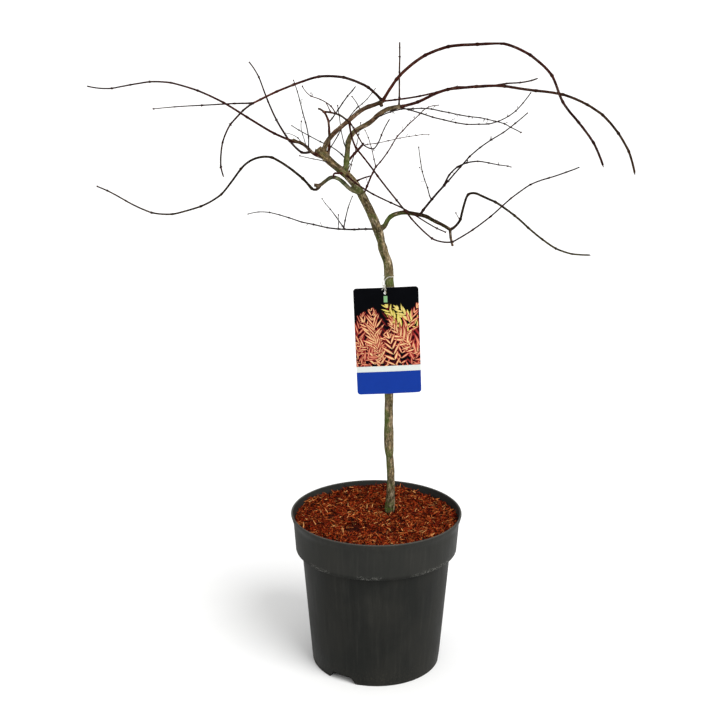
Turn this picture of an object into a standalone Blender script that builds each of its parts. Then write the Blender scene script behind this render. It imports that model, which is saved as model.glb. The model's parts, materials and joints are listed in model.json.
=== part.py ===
"""A leafless weeping maple in a plastic nursery pot, with a hang tag on its trunk.

Metres, +Z up. The origin is the centre of the pot's flat underside, the tree's
widest spread runs along X and the tag faces -Y.

Every limb grows by one rule. It leaves its parent's centre line at a share of
the parent's length, and then turns smoothly through a few angles: its rise
above the horizontal, at equal steps along its length, and its bearing in plan,
from foot to tip. Each solid is then cut clear of the ones it grows out of.
"""
import math
import random
from collections import namedtuple

import bmesh
import bpy
import numpy as np
from mathutils import Matrix, Vector

MM = 0.001
CLEARANCE = 0.3 * MM

# Pot
POT_HEIGHT = 0.306
BASE_RADIUS = 0.1250
BASE_BEVEL = 1.5 * MM
LEDGE_RADIUS = 0.1436
LEDGE_HEIGHT = 0.2300
BAND_FOOT_RADIUS = 0.1555
BAND_FOOT_HEIGHT = 0.2340
BAND_ROUNDING = 1.9
BAND_STEPS = 5
BAND_TOP_RADIUS = 0.1595
LIP_RADIUS = 0.164
LIP_DEPTH = 15 * MM
LIP_WIDTH = 4 * MM
LIP_BEVEL = 1.5 * MM
WALL = 2.2 * MM
FLOOR = 3 * MM
POT_STEPS = 72

# Drainage notches in the pot's lower edge
NOTCH_BEARINGS = (-122, -2, 118)
NOTCH_FOOT_WIDTH = 58 * MM
NOTCH_TOP_WIDTH = 38 * MM
NOTCH_HEIGHT = 15 * MM
NOTCH_BACK_RADIUS = 0.108

# Potting mix
MIX_LEVEL = 0.293
MIX_RELIEF = 3 * MM
MIX_SLACK = 0.8 * MM
MIX_STEPS = 48
MIX_RINGS = (0.78, 0.54, 0.30)
MIX_WAVES = (71, 83, 40)
FLAT_AROUND_TRUNK = 0.035

# Hang tag, in its own frame: X to the right, Z up, the front at -Y
TAG_CENTRE = Vector((0.0204, 0.0235, 0.6363))
TAG_WIDTH = 0.121
TAG_LENGTH = 0.205
TAG_THICKNESS = 0.8 * MM
TAG_CORNER = 6 * MM
TAG_CORNER_STEPS = 4
TAG_TILT = 2.4
TAG_HOLE_RADIUS = 3 * MM
TAG_HOLE_OFFSET = Vector((-0.001, 0.0, 0.0925))

# The tag's string: it rises in front of the hole, rings the trunk and comes down behind
STRING_RADIUS = 0.6 * MM
STRING_SIDES = 6
RING_LEVEL = 0.757
RING_SLACK = 0.7 * MM
RING_BEARINGS = range(-95, 216, 31)
RISING_STOPS_MM = ((0, -0.4, -1.2), (-0.5, -1.6, 2), (-1.5, -1.8, 15), (-0.5, -1.0, 24))
FALLING_STOPS_MM = ((-5, 1.0, 18), (-3, 1.6, 4), (-1, 1.4, -0.6))

# Growth
PATH_STEPS = 60
DENSE_STEPS = 5
TRUNK_RINGS = 32
RINGS_PER_TURN = 2.4
EXTRA_RINGS = 3
TIP_LENGTH = 0.6
TIP_WIDTH = 0.5
TRUNK_FOOT = Vector((0.027, 0.035, MIX_LEVEL + CLEARANCE))
TRUNK_RADII = (
    (0.00, 10.0), (0.02, 9.2), (0.06, 7.9), (0.10, 7.3), (0.15, 7.3), (0.175, 9.1), (0.215, 9.3), (0.24, 8.3),
    (0.55, 8.1), (0.615, 8.7), (0.65, 8.7), (0.685, 7.9), (0.702, 8.8), (0.717, 7.1), (0.74, 9.0), (0.80, 8.0),
    (0.90, 7.4), (0.94, 6.8), (0.98, 7.6), (1.00, 5.5),
)
SPUR_SPACING = 0.030
SPUR_CHANCE = 0.55
SPUR_ANGLE = 42
SPUR_LENGTHS = (6, 16)
SPUR_SHARES = (0.0, 0.55, 1.0)
SPUR_RADII = (0.60 * MM, 0.55 * MM, 0.45 * MM)
SPUR_ROOM = 3 * MM
SEED = 11

# radii are at foot and tip, in millimetres; bearings and rises are in degrees
Limb = namedtuple("Limb", "parent share length bearings rises radii sides")

BOUGHS = {
    "bough_front": Limb("trunk", 0.98, 0.150, (-25, 5), (90, 55, 40, 40, 40, 15, 30), (4.3, 3.7), 8),
    "bough_back": Limb("trunk", 0.91, 0.175, (10, 20), (80, 85, 90, 40, 25, 45, 20, 0), (5.2, 3.8), 8),
    "bough_right": Limb("trunk", 0.75, 0.153, (-5, 5), (5, 70, 20, -5, -10, -30, -25, -35), (4.4, 3.0), 8),
    "bough_left_low": Limb(
        "trunk", 0.85, 0.093, (190, 190), (20, 20, 45, 45, 20, -30, -40, -10), (3.9, 3.2), 8),
    "bough_left_high": Limb("trunk", 0.965, 0.070, (190, 180), (15, 20, 50, 35, -5), (3.1, 2.8), 8),
    "bough_crest": Limb("trunk", 0.965, 0.100, (250, 200), (115, 100, 90, 80, 65, 10), (2.6, 1.8), 6),
    "bough_crest_arm": Limb("bough_crest", 0.88, 0.085, (-60, -50), (0, -5, -30), (1.8, 1.7), 6),
}

WHIPS = {
    "whip_front_left": Limb(
        "bough_front", 1.00, 0.305, (220, 225), (45, 20, 5, -15, -15, -20), (2.4, 1.3), 6),
    "whip_front_left_far": Limb("whip_front_left", 1.00, 0.170, (220, 205), (0, 0, -5), (1.0, 0.6), 5),
    "whip_front_left_drop": Limb(
        "whip_front_left", 1.00, 0.195, (250, 260), (-10, -20, -20, -50, -135), (1.2, 0.8), 5),
    "whip_high_right": Limb(
        "bough_front", 1.00, 0.540, (-25, -40),
        (60, 50, 30, 15, 0, 5, -25, -35, -70, -40, -50, -70), (2.8, 1.4), 6),
    "whip_back_right": Limb("bough_front", 1.00, 0.480, (45, 50), (0, 5, 10, -5, 5, 0, 10), (1.5, 0.8), 5),
    "whip_wide_right": Limb(
        "bough_back", 1.00, 0.535, (5, 15), (5, 30, 5, 5, -10, -5, -15, -30, -45, -60, -75), (2.7, 1.6), 6),
    "whip_upright": Limb("bough_back", 1.00, 0.190, (88, 88), (55, 40, 30, 25), (1.3, 0.8), 5),
    "whip_low_right": Limb(
        "bough_right", 1.00, 0.403, (25, 30),
        (5, 80, 70, -30, -25, -35, -35, -40, -35, -30, -20, -10, -5), (2.1, 1.2), 6),
    "whip_hook": Limb("bough_left_low", 0.93, 0.0225, (190, 190), (-80, -60, 0, 60), (2.2, 2.1), 6),
    "whip_low_left": Limb(
        "whip_hook", 1.00, 0.450, (190, 205), (50, 40, 20, -55, -50, -20, -10, 20, 35, 25), (2.3, 0.9), 6),
    "whip_far_left": Limb(
        "bough_left_high", 1.00, 0.448, (165, 155), (15, 30, 30, 20, 10, -10, -10, 15), (1.8, 1.1), 6),
    "whip_rising_left": Limb(
        "bough_left_high", 0.48, 0.280, (120, 130), (-25, 25, 35, 50, 60, 30), (1.8, 0.8), 5),
    "whip_dipping": Limb(
        "bough_crest_arm", 1.00, 0.213, (-75, -65), (-15, -25, -20, 5, 55, 35), (1.3, 0.7), 5),
    "whip_sagging": Limb(
        "bough_crest_arm", 0.99, 0.589, (-40, -45),
        (-95, -40, -45, -40, -40, -25, 30, 35, 40, 35, 15, 25), (1.4, 0.7), 6),
    "whip_inner_right": Limb("trunk", 0.91, 0.255, (-70, -15), (-15, -15, -15, -15, -30, -20), (1.3, 0.7), 5),
}

# Where a whip bends round a wide gap it is made of lengths that meet end to end
WHIP_JOINTS = {
    "whip_front_left": (0.45,),
    "whip_high_right": (0.35, 0.64),
    "whip_wide_right": (0.50, 0.76),
    "whip_low_right": (0.27,),
    "whip_low_left": (0.28, 0.62),
    "whip_far_left": (0.52,),
    "whip_sagging": (0.48, 0.64),
}

TWIGS = {
    "twigs_front_right": Limb("bough_back", 0.69, 0.435, (-55, -65), (20, 5, -5, 0, -15), (1.5, 0.7), 3),
    "twigs_back_right": Limb(
        "bough_back", 1.00, 0.345, (32, 40), (-15, -15, -10, 0, 25, 45), (1.3, 0.6), 3),
    "twigs_fan": Limb("bough_right", 0.59, 0.075, (-35, -35), (50, 50, 45), (1.8, 1.5), 3),
    "fan_upper": Limb("twigs_fan", 1.00, 0.180, (-45, -55), (70, 20, -5, 0), (1.3, 0.6), 3),
    "fan_lower": Limb("twigs_fan", 1.00, 0.200, (-35, -20), (50, 45, 30, 45), (1.2, 0.6), 3),
    "fan_upright": Limb("twigs_fan", 0.51, 0.140, (100, 100), (25, 30, 65), (0.9, 0.6), 3),
    "twigs_fork": Limb("trunk", 0.84, 0.070, (60, 60), (40, 55, 30), (1.5, 1.2), 3),
    "fork_upright": Limb("twigs_fork", 1.00, 0.085, (110, 110), (60, 50, 30), (0.9, 0.6), 3),
    "fork_long": Limb("twigs_fork", 1.00, 0.285, (62, 60), (20, 35, 20, 20, -5), (1.1, 0.6), 3),
    "twigs_snag": Limb("bough_back", 0.11, 0.050, (40, 40), (45, 35, 40), (2.5, 2.2), 5),
    "snag_shoot": Limb("twigs_snag", 0.96, 0.190, (45, 50), (0, 5, 5, -5), (0.9, 0.6), 3),
    "twigs_low_left": Limb("trunk", 0.75, 0.290, (150, 150), (-5, -5, 5, 10, 10, -20), (1.4, 0.7), 4),
    "low_left_rising": Limb("twigs_low_left", 0.24, 0.115, (115, 115), (25, 20), (0.9, 0.6), 3),
    "low_left_upright": Limb("twigs_low_left", 0.25, 0.070, (60, 70), (80, 30), (0.9, 0.6), 3),
    "low_left_spur": Limb("twigs_low_left", 0.29, 0.025, (240, 240), (90, 95), (0.8, 0.6), 3),
    "twigs_left_tall": Limb("bough_left_high", 0.57, 0.150, (110, 110), (100, 45, 50, 35), (1.0, 0.6), 3),
    "twigs_left_short": Limb("bough_left_high", 0.66, 0.045, (150, 150), (80, 60, 110), (0.9, 0.6), 3),
    "twigs_left_spread": Limb("bough_left_high", 0.80, 0.045, (140, 140), (50, -5), (0.9, 0.6), 3),
    "twigs_back_left": Limb("bough_back", 0.14, 0.145, (140, 140), (45, 15, 20, 20), (1.0, 0.6), 3),
    "twigs_head_left": Limb("trunk", 0.95, 0.065, (215, 200), (10, 20, 10, 15), (1.0, 0.6), 3),
    "twigs_head_right": Limb("trunk", 0.98, 0.200, (50, 60), (25, 50, 35, 20, 35), (1.1, 0.6), 3),
    "twigs_back_short": Limb("bough_back", 0.22, 0.085, (130, 130), (50, 80, 75), (1.0, 0.6), 3),
    "twigs_inner_tall": Limb("trunk", 0.91, 0.140, (75, 75), (15, 35, 65), (1.0, 0.6), 3),
    "twigs_bough_top": Limb("bough_front", 0.80, 0.055, (125, 125), (-60, 55, 25), (0.9, 0.6), 3),
    "twigs_crest_left": Limb("bough_crest_arm", 0.48, 0.090, (215, 225), (65, 25, 10, 65), (0.9, 0.6), 3),
    "twigs_crest_back": Limb("bough_crest", 0.66, 0.125, (65, 65), (25, 30, 25), (1.0, 0.6), 3),
    "twigs_hook": Limb("trunk", 0.91, 0.035, (225, 200), (5, 5, 25, -155), (1.5, 1.2), 3),
    "twigs_short_inner": Limb("trunk", 0.88, 0.035, (-30, -30), (35, 10), (1.1, 0.8), 3),
}

LIMBS = {
    "trunk": Limb(
        None, 0.0, 0.740, (180, 180),
        (95, 92, 90, 88, 84, 88, 90, 90, 90, 90, 90, 90, 90, 90, 91, 88, 93, 82, 89,
         65, 80, 70, 65, 63, 60, 47, 35, 45, 55), None, 14),
    **BOUGHS, **WHIPS, **TWIGS,
}

COLOURS = {
    "pot": (0.030, 0.031, 0.030),
    "mix": (0.120, 0.045, 0.022),
    "trunk": (0.105, 0.090, 0.052),
    "bough": (0.100, 0.060, 0.040),
    "whip": (0.090, 0.022, 0.018),
    "twig": (0.055, 0.028, 0.026),
    "tag": (0.020, 0.020, 0.030),
    "string": (0.700, 0.700, 0.650),
}


def clear_scene():
    for item in list(bpy.data.objects):
        bpy.data.objects.remove(item, do_unlink=True)


def material(kind, roughness):
    made = bpy.data.materials.get(kind)
    if made is None:
        made = bpy.data.materials.new(kind)
        made.use_nodes = True
        shader = made.node_tree.nodes["Principled BSDF"]
        shader.inputs["Base Color"].default_value = (*COLOURS[kind], 1.0)
        shader.inputs["Roughness"].default_value = roughness
        shader.inputs["Metallic"].default_value = 0.0
    return made


def add_object(name, bm, kind=None, roughness=0.7):
    """Put a finished bmesh in the scene; with no material it is a hidden guide."""
    bmesh.ops.recalc_face_normals(bm, faces=bm.faces)
    mesh = bpy.data.meshes.new(name)
    bm.to_mesh(mesh)
    bm.free()
    item = bpy.data.objects.new(name, mesh)
    bpy.context.scene.collection.objects.link(item)
    if kind:
        mesh.materials.append(material(kind, roughness))
        mesh.shade_smooth()
        mesh.set_sharp_from_angle(angle=math.radians(40))
    else:
        item.hide_render = True
        item.display_type = "WIRE"
    return item


def boolean(item, operation, operand, collection=None):
    step = item.modifiers.new(operation.lower(), "BOOLEAN")
    step.operation = operation
    step.solver = "EXACT"
    if collection:
        step.operand_type = "COLLECTION"
        step.collection = collection
    else:
        step.object = operand
    return step


# ---------------------------------------------------------------- growth rule

def grow(start, length, rises, bearings):
    """The centre line that turns evenly from each rise to the next."""
    middles = (np.arange(PATH_STEPS) + 0.5) / PATH_STEPS
    rise = np.radians(np.interp(middles, np.linspace(0, 1, len(rises)), rises))
    bearing = np.radians(bearings[0] + (bearings[1] - bearings[0]) * middles)
    level = np.cos(rise)
    heading = np.stack([level * np.cos(bearing), level * np.sin(bearing), np.sin(rise)], axis=1)
    steps = heading * (length / PATH_STEPS)
    return np.vstack([np.array(start), np.array(start) + np.cumsum(steps, axis=0)])


def point_at(path, share):
    """The point, or the points, at a share of a path's length."""
    shares = np.linspace(0, 1, len(path))
    return np.stack([np.interp(share, shares, path[:, axis]) for axis in range(3)], axis=-1)


PATHS = {}


def limb_path(name):
    """A limb's centre line, which starts on its parent's."""
    if name not in PATHS:
        limb = LIMBS[name]
        start = point_at(limb_path(limb.parent), limb.share) if limb.parent else TRUNK_FOOT
        PATHS[name] = grow(start, limb.length, limb.rises, limb.bearings)
    return PATHS[name]


def radius_at(name, shares):
    """A limb's radius at shares of its length."""
    limb = LIMBS[name]
    if limb.radii is None:
        marks = np.array(TRUNK_RADII)
        return np.interp(shares, marks[:, 0], marks[:, 1]) * MM
    return (limb.radii[0] + (limb.radii[1] - limb.radii[0]) * np.asarray(shares)) * MM


def headings_along(path):
    """The direction at each point of a path."""
    return np.gradient(np.asarray(path), axis=0)


def tube(bm, path, headings, radii, sides, blunt=True):
    """A closed tube along a path; a blunt one ends in a small rounded tip."""
    path = [Vector(point) for point in path]
    headings = [Vector(heading).normalized() for heading in headings]
    radii = list(radii)
    if blunt:
        path.append(path[-1] + headings[-1] * radii[-1] * TIP_LENGTH)
        headings.append(headings[-1])
        radii.append(radii[-1] * TIP_WIDTH)
    across = headings[0].orthogonal().normalized()
    rings = []
    for centre, along, radius in zip(path, headings, radii):
        across = (across - along * across.dot(along)).normalized()
        other = along.cross(across)
        rings.append([
            bm.verts.new(centre + (across * math.cos(turn) + other * math.sin(turn)) * radius)
            for turn in (math.tau * side / sides for side in range(sides))
        ])
    for near, far in zip(rings, rings[1:]):
        for side in range(sides):
            after = (side + 1) % sides
            bm.faces.new((near[side], near[after], far[after], far[side]))
    bm.faces.new(reversed(rings[0]))
    bm.faces.new(rings[-1])


def ring_shares(name, first=0.0, last=1.0):
    """Where the rings of a limb's solid stand: closer on a wavy limb."""
    if name == "trunk":
        return np.union1d(np.linspace(0, 1, TRUNK_RINGS), [mark[0] for mark in TRUNK_RADII])
    whole = len(LIMBS[name].rises) * RINGS_PER_TURN + EXTRA_RINGS
    count = max(3, round(whole * (last - first)))
    return np.linspace(first, last, count + 1)


def limb_tube(bm, name, first=0.0, last=1.0, swell=0.0):
    """A limb's own tube, or with a swell the guide that clears its neighbours."""
    shares = ring_shares(name, first, last)
    sides = LIMBS[name].sides
    path = limb_path(name)
    centres = [point_at(path, share) for share in shares]
    headings = [point_at(headings_along(path), share) for share in shares]
    if name == "trunk":
        headings[0] = (0.0, 0.0, 1.0)
    radii = radius_at(name, shares) + swell / math.cos(math.pi / sides)
    tube(bm, centres, headings, radii, sides, blunt=(last == 1.0))


# ---------------------------------------------------- keeping solids apart

def dense(name):
    """Closely spaced centres of a limb, with its radius at each."""
    shares = np.linspace(0, 1, PATH_STEPS * DENSE_STEPS + 1)
    return point_at(limb_path(name), shares), radius_at(name, shares)


def room_between(name, other):
    """The least distance between the surfaces of two limbs."""
    centres_a, radii_a = dense(name)
    centres_b, radii_b = dense(other)
    gaps = np.linalg.norm(centres_a[:, None] - centres_b[None], axis=2)
    return float((gaps - radii_a[:, None] - radii_b[None]).min())


GUIDES = {}


def guide(name):
    """A limb's own shape, swollen by the clearance, to cut others with."""
    if name not in GUIDES:
        bm = bmesh.new()
        limb_tube(bm, name, swell=CLEARANCE)
        GUIDES[name] = add_object("guide_" + name, bm)
    return GUIDES[name]


def cut_clear(item, own_limbs, earlier):
    """Cut a solid 0.3 mm clear of every earlier limb that its own limbs meet."""
    for other in earlier:
        if any(room_between(name, other) < 2 * CLEARANCE for name in own_limbs):
            boolean(item, "DIFFERENCE", guide(other))


# --------------------------------------------------------------- twig masses

def stem_of(name):
    """The first twig of the mass that a twig belongs to."""
    parent = LIMBS[name].parent
    return stem_of(parent) if parent in TWIGS else name


def spur_frames(chooser, name):
    """Seeded places for short side shoots: foot, heading and length of each."""
    limb = LIMBS[name]
    path = limb_path(name)
    frames = []
    side = chooser.choice((-1, 1))
    for number in range(1, int(limb.length / SPUR_SPACING)):
        share = number * SPUR_SPACING / limb.length
        foot = Vector(point_at(path, share))
        along = (Vector(point_at(path, share + 0.02)) - foot).normalized()
        length = chooser.uniform(*SPUR_LENGTHS) * MM
        roll = Matrix.Rotation(chooser.uniform(0, math.tau), 3, along)
        if chooser.random() < SPUR_CHANCE:
            lean = Matrix.Rotation(math.radians(SPUR_ANGLE * side), 3, roll @ along.orthogonal())
            frames.append((foot, lean @ along, length))
        side = -side
    return frames


def spur_is_free(foot, heading, length, own_limbs):
    """Whether a spur keeps clear of every limb outside its own mass."""
    tip = np.array(foot + heading * length)
    for other in LIMBS:
        if other not in own_limbs:
            centres, radii = dense(other)
            if (np.linalg.norm(centres - tip, axis=1) - radii).min() < length + SPUR_ROOM:
                return False
    return True


def twig_mass(stem, members, chooser):
    """All twigs of one stem and their spurs, fused to one solid."""
    pieces = []
    for name in members:
        bm = bmesh.new()
        limb_tube(bm, name)
        pieces.append(add_object(stem if name == stem else "piece_" + name, bm, "twig"))
        for number, (foot, heading, length) in enumerate(spur_frames(chooser, name)):
            if spur_is_free(foot, heading, length, members):
                bm = bmesh.new()
                points = [foot + heading * length * share for share in SPUR_SHARES]
                tube(bm, points, [heading] * 3, SPUR_RADII, 3, blunt=False)
                pieces.append(add_object("piece_{}_{}".format(name, number), bm, "twig"))
    mass, others = pieces[0], pieces[1:]
    if others:
        group = bpy.data.collections.new("group_" + stem)
        for piece in others:
            group.objects.link(piece)
        join = boolean(mass, "UNION", None, group)
        with bpy.context.temp_override(object=mass, active_object=mass, selected_objects=[mass]):
            bpy.ops.object.modifier_apply(modifier=join.name)
        for piece in others:
            bpy.data.objects.remove(piece, do_unlink=True)
        bpy.data.collections.remove(group)
    return mass


def build_tree():
    earlier = []
    for name in LIMBS:
        if name in TWIGS:
            continue
        kind = "trunk" if name == "trunk" else "bough" if name in BOUGHS else "whip"
        marks = (0.0, *WHIP_JOINTS.get(name, ()), 1.0)
        half_gap = 0.5 * CLEARANCE / LIMBS[name].length
        for number, (first, last) in enumerate(zip(marks, marks[1:]), start=1):
            bm = bmesh.new()
            limb_tube(
                bm, name,
                first + half_gap if first > 0 else first,
                last - half_gap if last < 1 else last)
            label = name if len(marks) == 2 else "{}_{}".format(name, number)
            item = add_object(label, bm, kind)
            if first == 0.0:
                cut_clear(item, [name], earlier)
        earlier.append(name)
    chooser = random.Random(SEED)
    for stem in (name for name in TWIGS if stem_of(name) == name):
        members = [name for name in TWIGS if stem_of(name) == stem]
        mass = twig_mass(stem, members, chooser)
        cut_clear(mass, members, earlier)
        earlier.extend(members)


# ----------------------------------------------------------------------- pot

def lathe(profile, steps):
    """A closed turned solid; the profile starts and ends on the axis."""
    bm = bmesh.new()
    verts = [bm.verts.new((radius, 0.0, height)) for radius, height in profile]
    edges = [bm.edges.new(pair) for pair in zip(verts, verts[1:])]
    bmesh.ops.spin(
        bm, geom=verts + edges, cent=(0, 0, 0), axis=(0, 0, 1), angle=math.tau, steps=steps, use_merge=True)
    bmesh.ops.remove_doubles(bm, verts=bm.verts, dist=0.01 * MM)
    return bm


def wall_radius(height):
    """The pot's outer radius below its lip."""
    heights = (0.0, LEDGE_HEIGHT, BAND_FOOT_HEIGHT, POT_HEIGHT - LIP_DEPTH)
    radii = (BASE_RADIUS, LEDGE_RADIUS, BAND_FOOT_RADIUS, BAND_TOP_RADIUS)
    return float(np.interp(height, heights, radii))


def band_curve():
    """The rounded underside of the band, from the ledge up to the band's foot."""
    width, height = BAND_FOOT_RADIUS - LEDGE_RADIUS, BAND_FOOT_HEIGHT - LEDGE_HEIGHT
    return [
        (BAND_FOOT_RADIUS - width * drop ** BAND_ROUNDING, BAND_FOOT_HEIGHT - height * drop)
        for drop in (1 - step / BAND_STEPS for step in range(BAND_STEPS + 1))
    ]


def notch_prism(bearing, margin):
    """A drainage notch's wedge, with a margin all round for the wall behind it."""
    half_foot = NOTCH_FOOT_WIDTH / 2 + margin
    half_top = NOTCH_TOP_WIDTH / 2 + margin
    below, top = -10 * MM, NOTCH_HEIGHT + margin
    back, front = NOTCH_BACK_RADIUS - margin, BASE_RADIUS + 20 * MM
    bm = bmesh.new()
    outline = (
        (-half_foot, below), (half_foot, below), (half_foot, 0.0),
        (half_top, top), (-half_top, top), (-half_foot, 0.0))
    face = bm.faces.new([bm.verts.new((back, across, height)) for across, height in outline])
    pushed = bmesh.ops.extrude_face_region(bm, geom=[face])["geom"]
    bmesh.ops.translate(
        bm, verts=[part for part in pushed if isinstance(part, bmesh.types.BMVert)],
        vec=(front - back, 0, 0))
    bmesh.ops.transform(bm, matrix=Matrix.Rotation(math.radians(bearing), 4, "Z"), verts=bm.verts)
    return add_object("guide_notch", bm)


def build_pot():
    """The pot's shell, its cavity and the notches in its lower edge."""
    lip_foot = POT_HEIGHT - LIP_DEPTH
    above_pot = POT_HEIGHT + 10 * MM
    mouth = LIP_RADIUS - LIP_WIDTH
    outer = [
        (0.0, 0.0), (BASE_RADIUS - BASE_BEVEL, 0.0), (BASE_RADIUS, BASE_BEVEL),
        *band_curve(),
        (BAND_TOP_RADIUS, lip_foot), (LIP_RADIUS - 1 * MM, lip_foot + 3 * MM),
        (LIP_RADIUS, POT_HEIGHT - LIP_WIDTH), (LIP_RADIUS - LIP_BEVEL, POT_HEIGHT),
        (mouth, POT_HEIGHT), (0.0, POT_HEIGHT),
    ]
    inner = [
        (0.0, FLOOR), (BASE_RADIUS - WALL, FLOOR),
        (LEDGE_RADIUS - WALL, LEDGE_HEIGHT + WALL),
        (BAND_FOOT_RADIUS - WALL, BAND_FOOT_HEIGHT + WALL),
        (BAND_TOP_RADIUS - WALL, lip_foot),
        (mouth - 0.5 * MM, POT_HEIGHT - 1 * MM), (mouth, above_pot), (0.0, above_pot),
    ]
    pot = add_object("pot", lathe(outer, POT_STEPS), "pot", roughness=0.5)
    cavity = add_object("guide_cavity", lathe(inner, POT_STEPS))
    for bearing in NOTCH_BEARINGS:
        boolean(cavity, "DIFFERENCE", notch_prism(bearing, WALL))
    boolean(pot, "DIFFERENCE", cavity)
    for bearing in NOTCH_BEARINGS:
        boolean(pot, "DIFFERENCE", notch_prism(bearing, 0.0))


def build_mix():
    """The potting mix fills the pot, its top uneven but flat under the trunk."""
    slack = WALL + MIX_SLACK
    top_radius = wall_radius(MIX_LEVEL) - slack
    profile = [
        (0.0, FLOOR + CLEARANCE), (BASE_RADIUS - slack, FLOOR + CLEARANCE),
        (LEDGE_RADIUS - slack, LEDGE_HEIGHT + WALL),
        (BAND_FOOT_RADIUS - slack, BAND_FOOT_HEIGHT + slack),
        (top_radius, MIX_LEVEL - MIX_RELIEF),
        *((top_radius * share, MIX_LEVEL) for share in MIX_RINGS),
        (0.0, MIX_LEVEL),
    ]
    bm = lathe(profile, MIX_STEPS)
    along_x, along_y, aslant = MIX_WAVES
    for vert in bm.verts:
        from_trunk = (vert.co.xy - TRUNK_FOOT.xy).length
        if vert.co.z > MIX_LEVEL - 0.1 * MM and from_trunk > FLAT_AROUND_TRUNK:
            wave = math.sin(vert.co.x * along_x + 1.0) + math.sin(vert.co.y * along_y + vert.co.x * aslant)
            vert.co.z -= MIX_RELIEF * (0.5 + 0.25 * wave)
    mix = add_object("potting_mix", bm, "mix", roughness=0.95)
    for bearing in NOTCH_BEARINGS:
        boolean(mix, "DIFFERENCE", notch_prism(bearing, WALL + CLEARANCE))


# ----------------------------------------------------------------------- tag

def tag_frame():
    """Where the tag hangs, and how far it leans."""
    return Matrix.Translation(TAG_CENTRE) @ Matrix.Rotation(math.radians(-TAG_TILT), 4, "Y")


def build_tag():
    """A thin plastic card with round corners and a punched hole."""
    bm = bmesh.new()
    outline = []
    for corner, (sign_x, sign_z) in enumerate(((1, 1), (-1, 1), (-1, -1), (1, -1))):
        for step in range(TAG_CORNER_STEPS + 1):
            turn = math.radians(90 * (corner + step / TAG_CORNER_STEPS))
            outline.append(bm.verts.new((
                sign_x * (TAG_WIDTH / 2 - TAG_CORNER) + TAG_CORNER * math.cos(turn),
                -TAG_THICKNESS / 2,
                sign_z * (TAG_LENGTH / 2 - TAG_CORNER) + TAG_CORNER * math.sin(turn))))
    pushed = bmesh.ops.extrude_face_region(bm, geom=[bm.faces.new(outline)])["geom"]
    bmesh.ops.translate(
        bm, verts=[part for part in pushed if isinstance(part, bmesh.types.BMVert)],
        vec=(0, TAG_THICKNESS, 0))
    tag = add_object("tag", bm, "tag", roughness=0.35)
    punch = bmesh.new()
    bmesh.ops.create_cone(
        punch, cap_ends=True, segments=16, radius1=TAG_HOLE_RADIUS, radius2=TAG_HOLE_RADIUS, depth=10 * MM,
        matrix=Matrix.Translation(TAG_HOLE_OFFSET) @ Matrix.Rotation(math.radians(90), 4, "X"))
    hole = add_object("guide_hole", punch)
    for item in (tag, hole):
        item.matrix_world = tag_frame()
    boolean(tag, "DIFFERENCE", hole)


def string_path():
    """The stops of a closed loop: through the tag's hole, up, and round the trunk."""
    hole = tag_frame() @ TAG_HOLE_OFFSET
    trunk = limb_path("trunk")
    near = int(np.argmin(abs(trunk[:, 2] - RING_LEVEL)))
    centre = Vector(trunk[near])
    ring = float(radius_at("trunk", near / PATH_STEPS)) + STRING_RADIUS + RING_SLACK
    stops = [hole + Vector(offset) * MM for offset in RISING_STOPS_MM]
    for bearing in RING_BEARINGS:
        turn = math.radians(bearing)
        stops.append(centre + Vector((math.cos(turn) * ring, math.sin(turn) * ring, 0)))
    stops.extend(hole + Vector(offset) * MM for offset in FALLING_STOPS_MM)
    return stops


def build_string():
    """The tag's string as one closed ring of round section."""
    stops = string_path()
    count = len(stops)
    bm = bmesh.new()
    rings = []
    across = Vector((0, 0, 1))
    for place, stop in enumerate(stops):
        along = (stops[(place + 1) % count] - stops[place - 1]).normalized()
        across = (across - along * across.dot(along)).normalized()
        other = along.cross(across)
        rings.append([
            bm.verts.new(stop + (across * math.cos(turn) + other * math.sin(turn)) * STRING_RADIUS)
            for turn in (math.tau * side / STRING_SIDES for side in range(STRING_SIDES))
        ])
    last, first = rings[-1], rings[0]
    shift = min(range(STRING_SIDES), key=lambda turn: sum(
        (last[side].co - first[(side + turn) % STRING_SIDES].co).length for side in range(STRING_SIDES)))
    rings.append([first[(side + shift) % STRING_SIDES] for side in range(STRING_SIDES)])
    for near, far in zip(rings, rings[1:]):
        for side in range(STRING_SIDES):
            after = (side + 1) % STRING_SIDES
            bm.faces.new((near[side], near[after], far[after], far[side]))
    add_object("tag_string", bm, "string", roughness=0.5)


clear_scene()
build_pot()
build_mix()
build_tree()
build_tag()
build_string()
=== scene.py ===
"""The looks of a leafless weeping maple in a nursery pot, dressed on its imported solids.

Metres, +Z up, in the frame of the solids. Each limb follows the growth rule of its
solid. It then gets straighter internodes, swollen nodes and opposite buds, and each
twig mass is carried on to finer shoots within its own reach.
"""
import json
import math
import random
import re
from collections import namedtuple

import bmesh
import bpy
import numpy as np
from mathutils import Matrix, Vector, noise

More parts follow.
